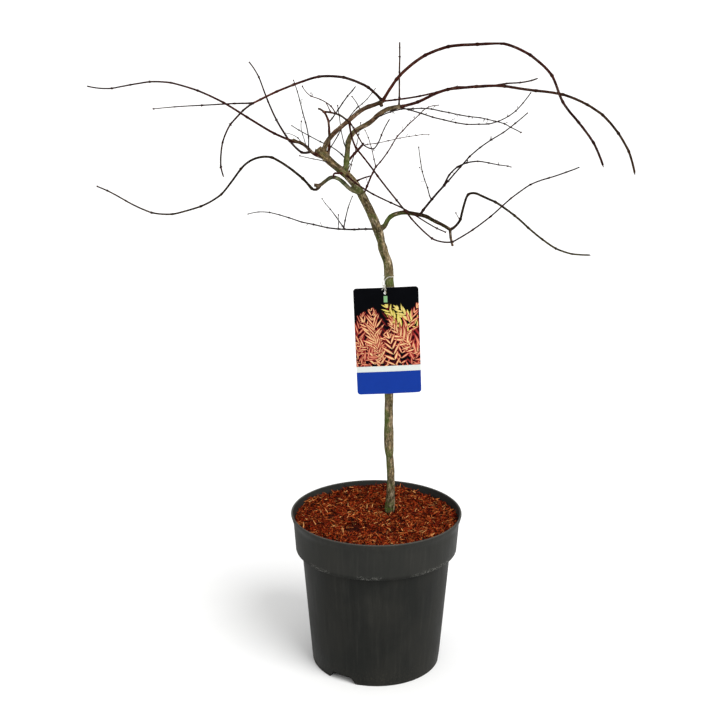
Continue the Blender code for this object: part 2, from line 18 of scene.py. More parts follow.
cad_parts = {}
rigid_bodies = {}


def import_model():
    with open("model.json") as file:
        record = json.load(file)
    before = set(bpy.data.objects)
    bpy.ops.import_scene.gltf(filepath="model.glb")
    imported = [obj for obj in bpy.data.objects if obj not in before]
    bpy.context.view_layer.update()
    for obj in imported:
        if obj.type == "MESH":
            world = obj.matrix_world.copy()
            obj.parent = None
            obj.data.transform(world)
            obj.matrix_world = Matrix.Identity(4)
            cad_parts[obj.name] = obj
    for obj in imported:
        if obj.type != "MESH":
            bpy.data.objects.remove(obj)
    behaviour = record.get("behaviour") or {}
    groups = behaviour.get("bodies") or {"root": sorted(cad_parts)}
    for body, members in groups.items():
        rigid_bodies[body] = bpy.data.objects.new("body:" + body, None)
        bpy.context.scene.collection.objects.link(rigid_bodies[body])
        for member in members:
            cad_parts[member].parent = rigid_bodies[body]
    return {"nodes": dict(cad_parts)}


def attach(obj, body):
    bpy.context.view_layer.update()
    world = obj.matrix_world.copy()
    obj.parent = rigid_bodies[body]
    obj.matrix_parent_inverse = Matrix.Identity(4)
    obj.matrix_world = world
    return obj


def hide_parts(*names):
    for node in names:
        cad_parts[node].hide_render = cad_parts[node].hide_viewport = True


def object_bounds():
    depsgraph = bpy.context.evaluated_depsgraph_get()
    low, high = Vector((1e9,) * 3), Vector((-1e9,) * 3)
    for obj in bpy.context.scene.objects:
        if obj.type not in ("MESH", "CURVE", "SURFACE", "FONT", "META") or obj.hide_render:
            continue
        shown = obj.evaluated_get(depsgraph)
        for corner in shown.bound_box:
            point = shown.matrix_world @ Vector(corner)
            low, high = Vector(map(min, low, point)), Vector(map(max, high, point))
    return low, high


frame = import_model()
CAD_BOX = [[float(value) for value in corner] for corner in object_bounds()]

MM = 0.001

# ------------------------------------------------------------------ dimensions

# Pot
POT_HEIGHT = 0.306
BASE_RADIUS = 0.1250
LEDGE_RADIUS = 0.1436
LEDGE_HEIGHT = 0.2300
BAND_FOOT_RADIUS = 0.1555
BAND_FOOT_HEIGHT = 0.2340
BAND_ROUNDING = 1.9
BAND_STEPS = 12
BAND_TOP_RADIUS = 0.1595
LIP_RADIUS = 0.164
LIP_DEPTH = 15 * MM
WALL = 2.2 * MM
FLOOR = 3 * MM
POT_STEPS = 192
NOTCH_BEARINGS = (-122, -2, 118)
NOTCH_FOOT_WIDTH = 58 * MM
NOTCH_TOP_WIDTH = 38 * MM
NOTCH_HEIGHT = 15 * MM
NOTCH_BACK_RADIUS = 0.108

# Potting mix
MIX_LEVEL = 0.293
BED_LEVEL = 0.2905
SHRED_COUNT = 12500
SHRED_SEED = 5

# Hang tag, in its own frame: X to the right, Z up, the front at -Y
TAG_CENTRE = Vector((0.0204, 0.0235, 0.6363))
TAG_WIDTH = 0.121
TAG_LENGTH = 0.205
TAG_THICKNESS = 0.8 * MM
TAG_CORNER = 6 * MM
TAG_TILT = 2.4
TAG_BOW = 1.6 * MM
TAG_HOLE_RADIUS = 3 * MM
TAG_HOLE_OFFSET = Vector((-0.001, 0.0, 0.0925))
BLUE_BAND_TOP = -0.059
WHITE_BAND_TOP = -0.048
STRING_RADIUS = 0.55 * MM
RING_LEVEL = 0.757

# Growth, as in the solids
PATH_STEPS = 240
TRUNK_FOOT = Vector((0.027, 0.035, 0.2933))
TRUNK_RADII = (
    (0.00, 10.0), (0.02, 9.2), (0.06, 7.9), (0.10, 7.3), (0.15, 7.3), (0.175, 9.1), (0.215, 9.3),
    (0.24, 8.3), (0.55, 8.1), (0.615, 8.7), (0.65, 8.7), (0.685, 7.9), (0.702, 8.8), (0.717, 7.1),
    (0.74, 9.0), (0.80, 8.0), (0.90, 7.4), (0.94, 6.8), (0.98, 7.6), (1.00, 5.5),
)
SPUR_SPACING = 0.030
SPUR_CHANCE = 0.55
SPUR_ANGLE = 42
SPUR_LENGTHS = (6, 16)
SPUR_ROOM = 3 * MM
SEED = 11

# Radii are at foot and tip, in millimetres; bearings and rises are in degrees
Limb = namedtuple("Limb", "parent share length bearings rises radii")

BOUGHS = {
    "bough_front": Limb("trunk", 0.98, 0.150, (-25, 5), (90, 55, 40, 40, 40, 15, 30), (4.3, 3.7)),
    "bough_back": Limb("trunk", 0.91, 0.175, (10, 20), (80, 85, 90, 40, 25, 45, 20, 0), (5.2, 3.8)),
    "bough_right": Limb("trunk", 0.75, 0.153, (-5, 5), (5, 70, 20, -5, -10, -30, -25, -35), (4.4, 3.0)),
    "bough_left_low": Limb(
        "trunk", 0.85, 0.093, (190, 190), (20, 20, 45, 45, 20, -30, -40, -10), (3.9, 3.2)),
    "bough_left_high": Limb("trunk", 0.965, 0.070, (190, 180), (15, 20, 50, 35, -5), (3.1, 2.8)),
    "bough_crest": Limb("trunk", 0.965, 0.100, (250, 200), (115, 100, 90, 80, 65, 10), (2.6, 1.8)),
    "bough_crest_arm": Limb("bough_crest", 0.88, 0.085, (-60, -50), (0, -5, -30), (1.8, 1.7)),
}

WHIPS = {
    "whip_front_left": Limb(
        "bough_front", 1.00, 0.305, (220, 225), (45, 20, 5, -15, -15, -20), (2.5, 1.75)),
    "whip_front_left_far": Limb("whip_front_left", 1.00, 0.170, (220, 205), (0, 0, -5), (1.45, 0.7)),
    "whip_front_left_drop": Limb(
        "whip_front_left", 1.00, 0.195, (250, 260), (-10, -20, -20, -50, -135), (1.6, 1.2)),
    "whip_high_right": Limb(
        "bough_front", 1.00, 0.540, (-25, -40),
        (60, 50, 30, 15, 0, 5, -25, -35, -70, -40, -50, -70), (2.9, 1.9)),
    "whip_back_right": Limb("bough_front", 1.00, 0.480, (45, 50), (0, 5, 10, -5, 5, 0, 10), (1.7, 1.6)),
    "whip_wide_right": Limb(
        "bough_back", 1.00, 0.535, (5, 15),
        (5, 30, 5, 5, -10, -5, -15, -30, -45, -60, -75), (2.8, 2.2)),
    "whip_upright": Limb("bough_back", 1.00, 0.190, (88, 88), (55, 40, 30, 25), (1.6, 1.45)),
    "whip_low_right": Limb(
        "bough_right", 1.00, 0.403, (25, 30),
        (5, 80, 70, -30, -25, -35, -35, -40, -35, -30, -20, -10, -5), (2.4, 1.7)),
    "whip_hook": Limb("bough_left_low", 0.93, 0.0225, (190, 190), (-80, -60, 0, 60), (2.3, 2.2)),
    "whip_low_left": Limb(
        "whip_hook", 1.00, 0.450, (190, 205), (50, 40, 20, -55, -50, -20, -10, 20, 35, 25), (2.4, 1.2)),
    "whip_far_left": Limb(
        "bough_left_high", 1.00, 0.448, (165, 155), (15, 30, 30, 20, 10, -10, -10, 15), (2.2, 1.3)),
    "whip_rising_left": Limb(
        "bough_left_high", 0.48, 0.280, (120, 130), (-25, 25, 35, 50, 60, 30), (2.35, 1.2)),
    "whip_dipping": Limb(
        "bough_crest_arm", 1.00, 0.213, (-75, -65), (-15, -25, -20, 5, 55, 35), (1.4, 0.9)),
    "whip_sagging": Limb(
        "bough_crest_arm", 0.99, 0.589, (-40, -45),
        (-95, -40, -45, -40, -40, -25, 30, 35, 40, 35, 15, 25), (1.75, 1.0)),
    "whip_inner_right": Limb(
        "trunk", 0.91, 0.255, (-70, -15), (-15, -15, -15, -15, -30, -20), (1.75, 1.15)),
}

TWIGS = {
    "twigs_front_right": Limb("bough_back", 0.69, 0.435, (-55, -65), (20, 5, -5, 0, -15), (1.25, 0.8)),
    "twigs_back_right": Limb("bough_back", 1.00, 0.345, (32, 40), (-15, -15, -10, 0, 25, 45), (1.3, 1.1)),
    "twigs_fan": Limb("bough_right", 0.59, 0.075, (-35, -35), (50, 50, 45), (2.3, 1.95)),
    "fan_upper": Limb("twigs_fan", 1.00, 0.180, (-45, -55), (70, 20, -5, 0), (1.7, 0.8)),
    "fan_lower": Limb("twigs_fan", 1.00, 0.200, (-35, -20), (50, 45, 30, 45), (1.5, 1.0)),
    "fan_upright": Limb("twigs_fan", 0.51, 0.140, (100, 100), (25, 30, 65), (1.15, 0.8)),
    "twigs_fork": Limb("trunk", 0.84, 0.070, (60, 60), (40, 55, 30), (1.9, 1.5)),
    "fork_upright": Limb("twigs_fork", 1.00, 0.085, (110, 110), (60, 50, 30), (0.9, 0.6)),
    "fork_long": Limb("twigs_fork", 1.00, 0.285, (62, 60), (20, 35, 20, 20, -5), (1.35, 0.85)),
    "twigs_snag": Limb("bough_back", 0.11, 0.050, (40, 40), (45, 35, 40), (2.4, 2.2)),
    "snag_shoot": Limb("twigs_snag", 0.96, 0.190, (45, 50), (0, 5, 5, -5), (0.75, 0.65)),
    "twigs_low_left": Limb("trunk", 0.75, 0.290, (150, 150), (-5, -5, 5, 10, 10, -20), (1.8, 0.85)),
    "low_left_rising": Limb("twigs_low_left", 0.24, 0.115, (115, 115), (25, 20), (1.25, 0.6)),
    "low_left_upright": Limb("twigs_low_left", 0.25, 0.070, (60, 70), (80, 30), (1.25, 0.8)),
    "low_left_spur": Limb("twigs_low_left", 0.29, 0.025, (240, 240), (90, 95), (0.8, 0.6)),
    "twigs_left_tall": Limb("bough_left_high", 0.57, 0.150, (110, 110), (100, 45, 50, 35), (1.2, 0.75)),
    "twigs_left_short": Limb("bough_left_high", 0.66, 0.045, (150, 150), (80, 60, 110), (0.75, 0.6)),
    "twigs_left_spread": Limb("bough_left_high", 0.80, 0.045, (140, 140), (50, -5), (0.75, 0.55)),
    "twigs_back_left": Limb("bough_back", 0.14, 0.145, (140, 140), (45, 15, 20, 20), (1.2, 0.85)),
    "twigs_head_left": Limb("trunk", 0.95, 0.065, (215, 200), (10, 20, 10, 15), (0.95, 0.65)),
    "twigs_head_right": Limb("trunk", 0.98, 0.200, (50, 60), (25, 50, 35, 20, 35), (1.1, 0.75)),
    "twigs_back_short": Limb("bough_back", 0.22, 0.085, (130, 130), (50, 80, 75), (1.0, 0.75)),
    "twigs_inner_tall": Limb("trunk", 0.91, 0.140, (75, 75), (15, 35, 65), (0.95, 0.65)),
    "twigs_bough_top": Limb("bough_front", 0.80, 0.055, (125, 125), (-60, 55, 25), (0.95, 0.8)),
    "twigs_crest_left": Limb("bough_crest_arm", 0.48, 0.090, (215, 225), (65, 25, 10, 65), (1.1, 0.7)),
    "twigs_crest_back": Limb("bough_crest", 0.66, 0.125, (65, 65), (25, 30, 25), (1.3, 1.15)),
    "twigs_hook": Limb("trunk", 0.91, 0.035, (225, 200), (5, 5, 25, -155), (2.0, 1.7)),
    "twigs_short_inner": Limb("trunk", 0.88, 0.035, (-30, -30), (35, 10), (1.6, 1.4)),
}

# Cut stubs and short shoots that only show close up
STUBS = {
    "stub_right_down": Limb("whip_low_right", 0.00, 0.031, (0, 0), (-86, -74), (2.7, 2.2)),
    "stub_back": Limb("bough_back", 0.86, 0.020, (15, 15), (-8, 22), (2.0, 1.7)),
    "stub_front": Limb("bough_front", 0.97, 0.008, (-60, -60), (-50, -50), (3.6, 3.2)),
    "stub_crest": Limb("bough_crest_arm", 0.30, 0.016, (200, 200), (60, 66), (1.0, 0.8)),
    "stub_leader": Limb("trunk", 0.90, 0.022, (60, 60), (57, 60), (1.2, 0.7)),
    "stub_low_right": Limb("whip_low_right", 0.07, 0.019, (230, 230), (45, 50), (0.8, 0.6)),
    "stub_head": Limb("trunk", 0.985, 0.014, (178, 178), (38, 5), (4.4, 3.6)),
    "stub_left_low": Limb("bough_left_low", 0.97, 0.008, (190, 190), (20, 0), (3.6, 3.0)),
    "stub_left_high": Limb("bough_left_high", 0.93, 0.008, (184, 184), (40, 20), (2.9, 2.3)),
}

LIMBS = {
    "trunk": Limb(
        None, 0.0, 0.740, (180, 180),
        (95, 92, 90, 88, 84, 88, 90, 90, 90, 90, 90, 90, 90, 90, 91, 88, 93, 82, 89,
         65, 80, 70, 65, 63, 60, 47, 35, 45, 55), None),
    **BOUGHS, **WHIPS, **TWIGS, **STUBS,
}

# How bright the studio's light leaves a white card, so that colours can be told as they look
LIGHT = 1.50

# Bark colours as they look, from 0 to 255
BARKS = {
    "dim": (80, 70, 52),
    "grey": (112, 97, 71),
    "olive": (92, 79, 55),
    "tan": (112, 90, 61),
    "brown": (92, 68, 50),
    "umber": (52, 34, 22),
    "drab": (58, 52, 32),
    "ink": (35, 26, 16),
    "maroon": (56, 23, 18),
    "plum": (42, 22, 20),
    "rust": (80, 36, 26),
    "wood": (74, 52, 36),
    "verdigris": (88, 92, 68),
}

# Each limb's bark from foot to tip
TONES = {
    "trunk": "dim grey grey grey grey grey olive olive tan",
    "bough_front": "olive brown brown umber",
    "bough_back": "olive olive brown olive",
    "bough_right": "olive umber ink umber",
    "bough_left_low": "olive verdigris verdigris wood",
    "bough_left_high": "umber maroon plum wood",
    "bough_crest": "maroon rust maroon",
    "bough_crest_arm": "rust umber plum",
    "whip_front_left": "plum plum rust",
    "whip_front_left_far": "plum plum",
    "whip_front_left_drop": "plum plum",
    "whip_high_right": "rust maroon maroon plum",
    "whip_back_right": "maroon plum",
    "whip_wide_right": "maroon maroon umber umber",
    "whip_upright": "umber maroon",
    "whip_low_right": "ink ink drab drab",
    "whip_hook": "umber ink",
    "whip_low_left": "ink ink umber",
    "whip_far_left": "maroon maroon plum",
    "whip_rising_left": "plum plum",
    "whip_dipping": "maroon plum",
    "whip_sagging": "maroon plum",
    "whip_inner_right": "maroon plum",
    "stub_right_down": "umber wood",
    "stub_back": "ink ink",
    "stub_front": "wood wood",
    "stub_head": "tan wood",
    "stub_left_low": "wood wood",
    "stub_left_high": "wood olive",
}

# How coarse the bark of each kind is, and how much moss a limb has at its foot and its tip; the moss leans
# to the side away from the key lamp and to the underside, so it is partly painted shade
OLDNESS = {"trunk": 1.0, "bough": 0.6, "stub": 0.6, "whip": 0.15}
MOSS_AND_SHADE = {
    "trunk": (0.9, 0.4),
    "bough_right": (1.0, 0.1),
    "bough_back": (1.0, 0.0),
    "bough_left_low": (0.3, 0.3),
}

# Green patches on the front: limb, share of its length, half height in metres, strength
GREEN_SPOTS = (
    ("trunk", 0.615, 9 * MM, 0.9),
    ("trunk", 0.860, 12 * MM, 0.6),
    ("bough_right", 0.220, 9 * MM, 0.9),
    ("bough_back", 0.120, 10 * MM, 0.9),
    ("bough_left_low", 0.080, 9 * MM, 0.6),
)

# Dark cross scars, and one painted shadow in the fork where bough_back leaves the trunk: limb, share of its
# length, half height in metres, strength
SCARS_AND_SHADE = (
    ("trunk", 0.848, 1.4 * MM, 0.9),
    ("trunk", 0.818, 1.2 * MM, 0.7),
    ("trunk", 0.905, 1.6 * MM, 0.7),
    ("trunk", 0.990, 1.2 * MM, 0.8),
    ("trunk", 0.745, 1.5 * MM, 0.5),
    # Painted shadow, not a scar: the dark crotch where bough_back leaves the trunk
    ("bough_back", 0.045, 1.6 * MM, 0.6),
)

TINTS = {
    "red": ("twigs_snag", "twigs_hook", "twigs_crest_left", "twigs_short_inner", "twigs_fork"),
    "grey": (
        "twigs_low_left", "twigs_back_left", "twigs_left_tall", "twigs_left_short", "twigs_left_spread",
        "twigs_head_left", "twigs_crest_back"),
    "brown": (
        "twigs_front_right", "twigs_back_right", "twigs_fan", "twigs_head_right", "twigs_back_short",
        "twigs_inner_tall", "twigs_bough_top"),
}

# Distance between a limb's nodes, how far the internodes of shoots and of thick limbs are
# pulled straight, and how far a node wanders off the growth rule's line
INTERNODES = {"trunk": 0.075, "bough": 0.030, "whip": 0.060, "twigs": 0.032, "stub": 0.020}
STRAIGHTENING = 0.35
THICK_STRAIGHTENING = 0.3 * STRAIGHTENING
WANDER = 0.9 * MM
RING_STEP = 2 * MM


def srgb(red, green, blue):
    """Linear colour of a colour told as it looks, from 0 to 255."""
    return tuple(
        (c / 12.92 if c <= 0.04045 else ((c + 0.055) / 1.055) ** 2.4)
        for c in (red / 255, green / 255, blue / 255))


def seen(red, green, blue):
    """The base colour that looks like this, from 0 to 255, in the studio's light."""
    return tuple(min(0.95, channel / LIGHT) for channel in srgb(red, green, blue))


def tones_along(name, shares):
    """A limb's bark colour at shares of its length."""
    tones = np.array([seen(*BARKS[tone]) for tone in TONES[name].split()])
    return between_stops(shares, np.linspace(0, 1, len(tones)), tones)


# ---------------------------------------------------------------------- nodes

class Nodes:
    """A node tree, built by short calls that each return a node or a socket."""

    def __init__(self, tree):
        self.tree = tree

    def add(self, kind, inputs=(), **settings):
        node = self.tree.nodes.new("ShaderNode" + kind)
        for key, value in settings.items():
            setattr(node, key, value)
        for key, value in dict(inputs).items():
            self.feed(node.inputs[key], value)
        return node

    def feed(self, socket, value):
        if isinstance(value, bpy.types.NodeSocket):
            self.tree.links.new(value, socket)
        else:
            socket.default_value = value

    def window(self, value, low, high, start=0.0, end=1.0):
        """A smooth step from start to end while the value goes from low to high."""
        return self.add("MapRange", {
            "Value": value, "From Min": low, "From Max": high, "To Min": start, "To Max": end},
            interpolation_type="SMOOTHSTEP").outputs["Result"]


class Finish(Nodes):
    """One procedural material."""

    def __init__(self, name, roughness, specular):
        self.material = bpy.data.materials.new(name)
        self.material.use_nodes = True
        super().__init__(self.material.node_tree)
        self.shader = self.tree.nodes["Principled BSDF"]
        self.shader.inputs["Roughness"].default_value = roughness
        self.shader.inputs["Specular IOR Level"].default_value = specular

    def place(self):
        return self.add("TexCoord").outputs["Object"]

    def read(self, attribute, output="Fac"):
        return self.add("Attribute", attribute_name=attribute).outputs[output]

    def grain(self, vector, scale, detail, roughness=0.55):
        """Noise with this many cells to the metre: one number, or one for each axis."""
        scales = scale if isinstance(scale, tuple) else (scale, scale, scale)
        stretched = self.add("Mapping", {"Vector": vector, "Scale": scales}).outputs["Vector"]
        return self.add("TexNoise", {
            "Vector": stretched, "Scale": 1.0, "Detail": detail, "Roughness": roughness}).outputs["Fac"]

    def maths(self, operation, *values):
        return self.add("Math", enumerate(values), operation=operation).outputs[0]

    def product(self, first, second):
        return self.maths("MULTIPLY", first, second)

    def ramp(self, value, *stops):
        node = self.add("ValToRGB", {"Fac": value})
        elements = node.color_ramp.elements
        while len(elements) < len(stops):
            elements.new(0.5)
        for element, (position, colour) in zip(elements, stops):
            element.position = position
            element.color = (*colour, 1.0)
        return node.outputs["Color"]

    def mix(self, share, first, second):
        """A share of the second colour laid over the first."""
        node = self.add("Mix", {0: share}, data_type="RGBA")
        for name, value in (("A", first), ("B", second)):
            socket = next(i for i in node.inputs if i.name == name and i.type == "RGBA")
            self.feed(socket, value if isinstance(value, bpy.types.NodeSocket) else (*value, 1.0))
        return next(out for out in node.outputs if out.type == "RGBA")

    def times(self, colour, factor):
        """A colour made lighter or darker by a single number."""
        return self.add("VectorMath", {0: colour, "Scale": factor}, operation="SCALE").outputs["Vector"]

    def colour(self, socket):
        self.tree.links.new(socket, self.shader.inputs["Base Color"])

    def dullness(self, socket):
        self.tree.links.new(socket, self.shader.inputs["Roughness"])

    def relief(self, height, distance):
        bump = self.add("Bump", {"Height": height, "Distance": distance})
        self.tree.links.new(bump.outputs["Normal"], self.shader.inputs["Normal"])


def grained_finish(name, specular, scale, detail, stops, dullness, relief=0.0):
    """A material whose colour, roughness and any relief all follow one noise."""
    made = Finish(name, dullness[0], specular)
    grain = made.grain(made.place(), scale, detail)
    made.colour(made.ramp(grain, *stops))
    made.dullness(made.window(grain, 0.3, 0.7, *dullness))
    if relief:
        made.relief(grain, relief)
    return made.material


def bark_finish():
    """Bark of a carried tone, with grooves, pale crests, moss that is partly painted shade, lenticels, and
    scars of which one is a painted shadow in a fork.
    """
    bark = Finish("bark", 0.70, 0.02)
    along = bark.read("grain", "Vector")
    old = bark.read("old")
    streaks = bark.grain(along, (800, 800, 60), 4)
    blotches = bark.grain(along, (210, 210, 75), 3)
    mottle = bark.grain(along, (330, 330, 200), 3)
    patches = bark.grain(along, (150, 150, 55), 4, roughness=0.65)
    tone = bark.read("tone", "Vector")
    pale = bark.product(bark.window(patches, 0.51, 0.63, 0.0, 0.75), old)
    deep = bark.product(bark.window(patches, 0.47, 0.37, 0.0, 0.75), old)
    tone = bark.mix(pale, tone, seen(156, 140, 116))
    tone = bark.mix(deep, tone, seen(66, 64, 36))
    tone = bark.times(tone, bark.window(blotches, 0.34, 0.66, 0.55, 1.45))
    grooves = bark.product(bark.window(streaks, 0.52, 0.34), bark.window(old, 0.0, 1.0, 0.40, 0.90))
    tone = bark.times(tone, bark.maths("SUBTRACT", 1.0, bark.product(grooves, 0.85)))
    crests = bark.product(bark.window(mottle, 0.50, 0.66), bark.window(old, 0.0, 1.0, 0.20, 1.25))
    tone = bark.times(tone, bark.maths("ADD", 1.0, crests))
    # The moss tint is partly painted shade on the side away from the key lamp
    for kind, strength, looks in (
            ("moss", 0.80, (78, 98, 42)), ("fleck", 0.75, (176, 164, 136)), ("scar", 0.85, (32, 20, 15))):
        tone = bark.mix(bark.product(bark.read(kind), strength), tone, seen(*looks))
    bark.colour(tone)
    bark.dullness(bark.window(streaks, 0.3, 0.7, 0.56, 0.82))
    bark.relief(bark.maths("ADD", streaks, bark.product(mottle, 0.8)), 0.40 * MM)
    return bark.material


def twig_finish(name, colour, dark):
    """Thin young bark, a plain tint with fine mottling and broad paler and darker stretches."""
    twig = Finish(name, 0.60, 0.02)
    place = twig.place()
    mottle = twig.grain(place, 900, 2)
    stretch = twig.grain(place, 60, 2)
    tone = twig.mix(twig.window(mottle, 0.35, 0.65), dark, colour)
    twig.colour(twig.times(tone, twig.window(stretch, 0.3, 0.7, 0.75, 1.25)))
    twig.dullness(twig.window(mottle, 0.3, 0.7, 0.46, 0.66))
    twig.relief(mottle, 0.12 * MM)
    return twig.material


# Where the band's foot is scuffed: bearing of the middle and half the width, in degrees
SCUFFS = ((-134, 11), (-95, 11), (-42, 27), (20, 14), (75, 24), (150, 30))


def pot_finish():
    """Matt injection-moulded plastic: faint upright flow lines, dust, scuffs along the band's foot, and a
    pale lip top that is partly painted highlight.
    """
    pot = Finish("pot_plastic", 0.50, 0.06)
    place = pot.place()
    flow = pot.grain(place, (150, 150, 2.5), 4)
    clouds = pot.grain(place, (14, 14, 10), 4)
    specks = pot.grain(place, 520, 2)
    axes = pot.add("SeparateXYZ", {"Vector": place})
    height = axes.outputs["Z"]
    tone = pot.mix(pot.window(clouds, 0.35, 0.68), seen(33, 34, 32), seen(41, 41, 38))
    pale_band = pot.window(height, BAND_FOOT_HEIGHT + 0.5 * MM, BAND_FOOT_HEIGHT + 8 * MM, 0.0, 0.14)
    for share, looks in (
            (pot.window(flow, 0.50, 0.78, 0.0, 0.16), (72, 71, 66)),
            (pot.window(flow, 0.46, 0.28, 0.0, 0.30), (20, 20, 18)),
            (pale_band, (84, 84, 80))):
        tone = pot.mix(share, tone, seen(*looks))
    bearing = pot.maths("ARCTAN2", axes.outputs["Y"], axes.outputs["X"])
    edge = pot.product(
        pot.window(height, BAND_FOOT_HEIGHT - 1.5 * MM, BAND_FOOT_HEIGHT),
        pot.window(height, BAND_FOOT_HEIGHT + 8.5 * MM, BAND_FOOT_HEIGHT + 3 * MM))
    lit = None
    for middle, half in SCUFFS:
        off = pot.maths("ABSOLUTE", pot.maths("SUBTRACT", bearing, math.radians(middle)))
        part = pot.window(off, math.radians(half), math.radians(half * 0.6))
        lit = part if lit is None else pot.maths("MAXIMUM", lit, part)
    scratches = pot.window(pot.grain(place, 760, 2), 0.55, 0.66)
    patches = pot.window(pot.grain(place, (60, 60, 90), 2), 0.36, 0.52)
    scuff = pot.product(pot.product(edge, lit), pot.product(patches, scratches))
    # Painted highlight: a pale line round the top of the rolled lip where it catches the light, broken by
    # scratches so that it is partly wear as well
    lip_wear_and_highlight = pot.product(
        pot.window(height, POT_HEIGHT - 2 * MM, POT_HEIGHT - 0.4 * MM),
        pot.window(scratches, 0.0, 0.7, 0.35, 0.9))
    splash = pot.product(pot.window(height, 0.05, 0.0), pot.window(specks, 0.52, 0.72))
    for share, strength, looks in (
            (scuff, 0.9, (140, 140, 134)), (lip_wear_and_highlight, 0.60, (120, 118, 110)), (splash, 0.35, (96, 90, 78))):
        tone = pot.mix(pot.product(share, strength), tone, seen(*looks))
    pot.colour(tone)
    pot.dullness(pot.window(clouds, 0.3, 0.7, 0.42, 0.58))
    pot.relief(pot.maths("ADD", specks, pot.product(flow, 2.0)), 0.10 * MM)
    return pot.material


def shred_finish(name, looks):
    """Shredded bark of one tint, with darker fibres along it."""
    shred = Finish(name, 0.85, 0.05)
    place = shred.place()
    fibres = shred.grain(place, (700, 700, 900), 2)
    stains = shred.grain(place, 120, 2)
    shade = shred.product(
        shred.window(fibres, 0.34, 0.64, 0.55, 1.25), shred.window(stains, 0.35, 0.65, 0.60, 1.15))
    colour = shred.mix(shred.window(stains, 0.45, 0.75, 0.0, 0.5), seen(*looks), seen(128, 42, 16))
    shred.colour(shred.times(colour, shade))
    shred.dullness(shred.window(fibres, 0.3, 0.7, 0.75, 0.95))
    shred.relief(fibres, 0.3 * MM)
    return shred.material


def print_finish(name, looks, variation=0.12, roughness=0.35, specular=0.05):
    """Glossy printed card of one ink, with the slight mottle of a screened print."""
    ink = Finish(name, roughness, specular)
    place = ink.place()
    screen = ink.grain(place, 1500, 1)
    wash = ink.grain(place, 60, 2)
    colour = seen(*looks)
    shade = tuple(channel * (1 - variation) for channel in colour)
    tone = ink.mix(ink.window(wash, 0.3, 0.7), shade, colour)
    ink.colour(ink.mix(ink.window(screen, 0.4, 0.7, 0.0, 0.5), tone, shade))
    ink.dullness(ink.window(wash, 0.3, 0.7, roughness - 0.06, roughness + 0.08))
    ink.relief(screen, 0.02 * MM)
    return ink.material


# --------------------------------------------------------------------- meshes

class Pile:
    """Collects vertices, faces and vertex values of many small shapes into one mesh."""

    def __init__(self):
        self.verts, self.faces, self.values = [], [], {}
        self.count = 0

    def add(self, verts, faces, **values):
        verts = np.asarray(verts, float).reshape(-1, 3)
        self.verts.append(verts)
        self.faces.extend(np.asarray(face) + self.count for face in faces)
        for key, value in values.items():
            self.values.setdefault(key, []).append(np.asarray(value, float))
        self.count += len(verts)

    def build(self, name, *materials, smooth_angle=50):
        verts = np.vstack(self.verts)
        mesh = bpy.data.meshes.new(name)
        faces = [np.atleast_2d(block) for block in self.faces]
        loops = np.concatenate([block.ravel() for block in faces])
        totals = np.concatenate([np.full(len(block), block.shape[1]) for block in faces])
        mesh.vertices.add(len(verts))
        mesh.vertices.foreach_set("co", verts.astype(np.float32).ravel())
        mesh.loops.add(len(loops))
        mesh.loops.foreach_set("vertex_index", loops.astype(np.int32))
        mesh.polygons.add(len(totals))
        starts = np.concatenate([[0], np.cumsum(totals)[:-1]])
        mesh.polygons.foreach_set("loop_start", starts.astype(np.int32))
        mesh.update(calc_edges=True)
        mesh.validate()
        for key, parts in self.values.items():
            write_attribute(mesh, key, np.concatenate(parts))
        return finish_mesh(name, mesh, materials, smooth_angle)


def write_attribute(mesh, key, values):
    kind, field = ("FLOAT_VECTOR", "vector") if values.ndim == 2 else ("FLOAT", "value")
    made = mesh.attributes.new(key, kind, "POINT")
    made.data.foreach_set(field, values.astype(np.float32).ravel())


def link(name, data):
    """Puts a mesh, a lamp or a camera in the scene."""
    item = bpy.data.objects.new(name, data)
    bpy.context.scene.collection.objects.link(item)
    return item


def finish_mesh(name, mesh, materials, smooth_angle):
    item = link(name, mesh)
    for material in materials:
        mesh.materials.append(material)
    mesh.shade_smooth()
    mesh.set_sharp_from_angle(angle=math.radians(smooth_angle))
    return item


def frames_along(points):
    """Tangents and two carried-along side directions at each point of a line."""
    points = np.asarray(points, float)
    along = np.gradient(points, axis=0)
    along /= np.linalg.norm(along, axis=1)[:, None]
    side = np.array(Vector(along[0]).orthogonal().normalized())
    sides = []
    for direction in along:
        side = side - direction * side.dot(direction)
        side /= np.linalg.norm(side)
        sides.append(side)
    sides = np.array(sides)
    return along, sides, np.cross(along, sides)


def sweep(points, radii, sides):
    """Vertices and faces of a capped tube; radii is one row of numbers for each ring."""
    _, side, other = frames_along(points)
    turns = np.arange(sides) * math.tau / sides
    spokes = side[:, None] * np.cos(turns)[None, :, None] + other[:, None] * np.sin(turns)[None, :, None]
    radii = np.broadcast_to(np.asarray(radii, float).reshape(len(points), -1), (len(points), sides))
    verts = np.asarray(points)[:, None] + spokes * radii[..., None]
    return verts.reshape(-1, 3), tube_faces(len(points), sides)


def tube_faces(rings, sides):
    index = np.arange(rings * sides).reshape(rings, sides)
    after = np.roll(index, -1, axis=1)
    quads = np.stack([index[:-1], after[:-1], after[1:], index[1:]], axis=-1).reshape(-1, 4)
    return [quads, index[0][::-1], index[-1]]


def repeat_shape(template, faces, places, turns, scales):
    """Copies of a small shape as one block of vertices, and its faces for all copies."""
    verts = np.einsum("kij,kmj->kmi", turns, template[None] * scales[:, None])
    verts += places[:, None]
    blocks = []
    offsets = (np.arange(len(places)) * len(template))[:, None]
    for width in sorted({len(face) for face in faces}):
        same = np.array([face for face in faces if len(face) == width])
        blocks.append((same[None] + offsets[:, None]).reshape(-1, width))
    return verts.reshape(-1, 3), blocks


# --------------------------------------------------------------------- growth

def between_stops(share, stops, values):
    """Rows of three numbers, read off at a share between the stops that they belong to."""
    return np.stack([np.interp(share, stops, values[:, axis]) for axis in range(3)], axis=-1)


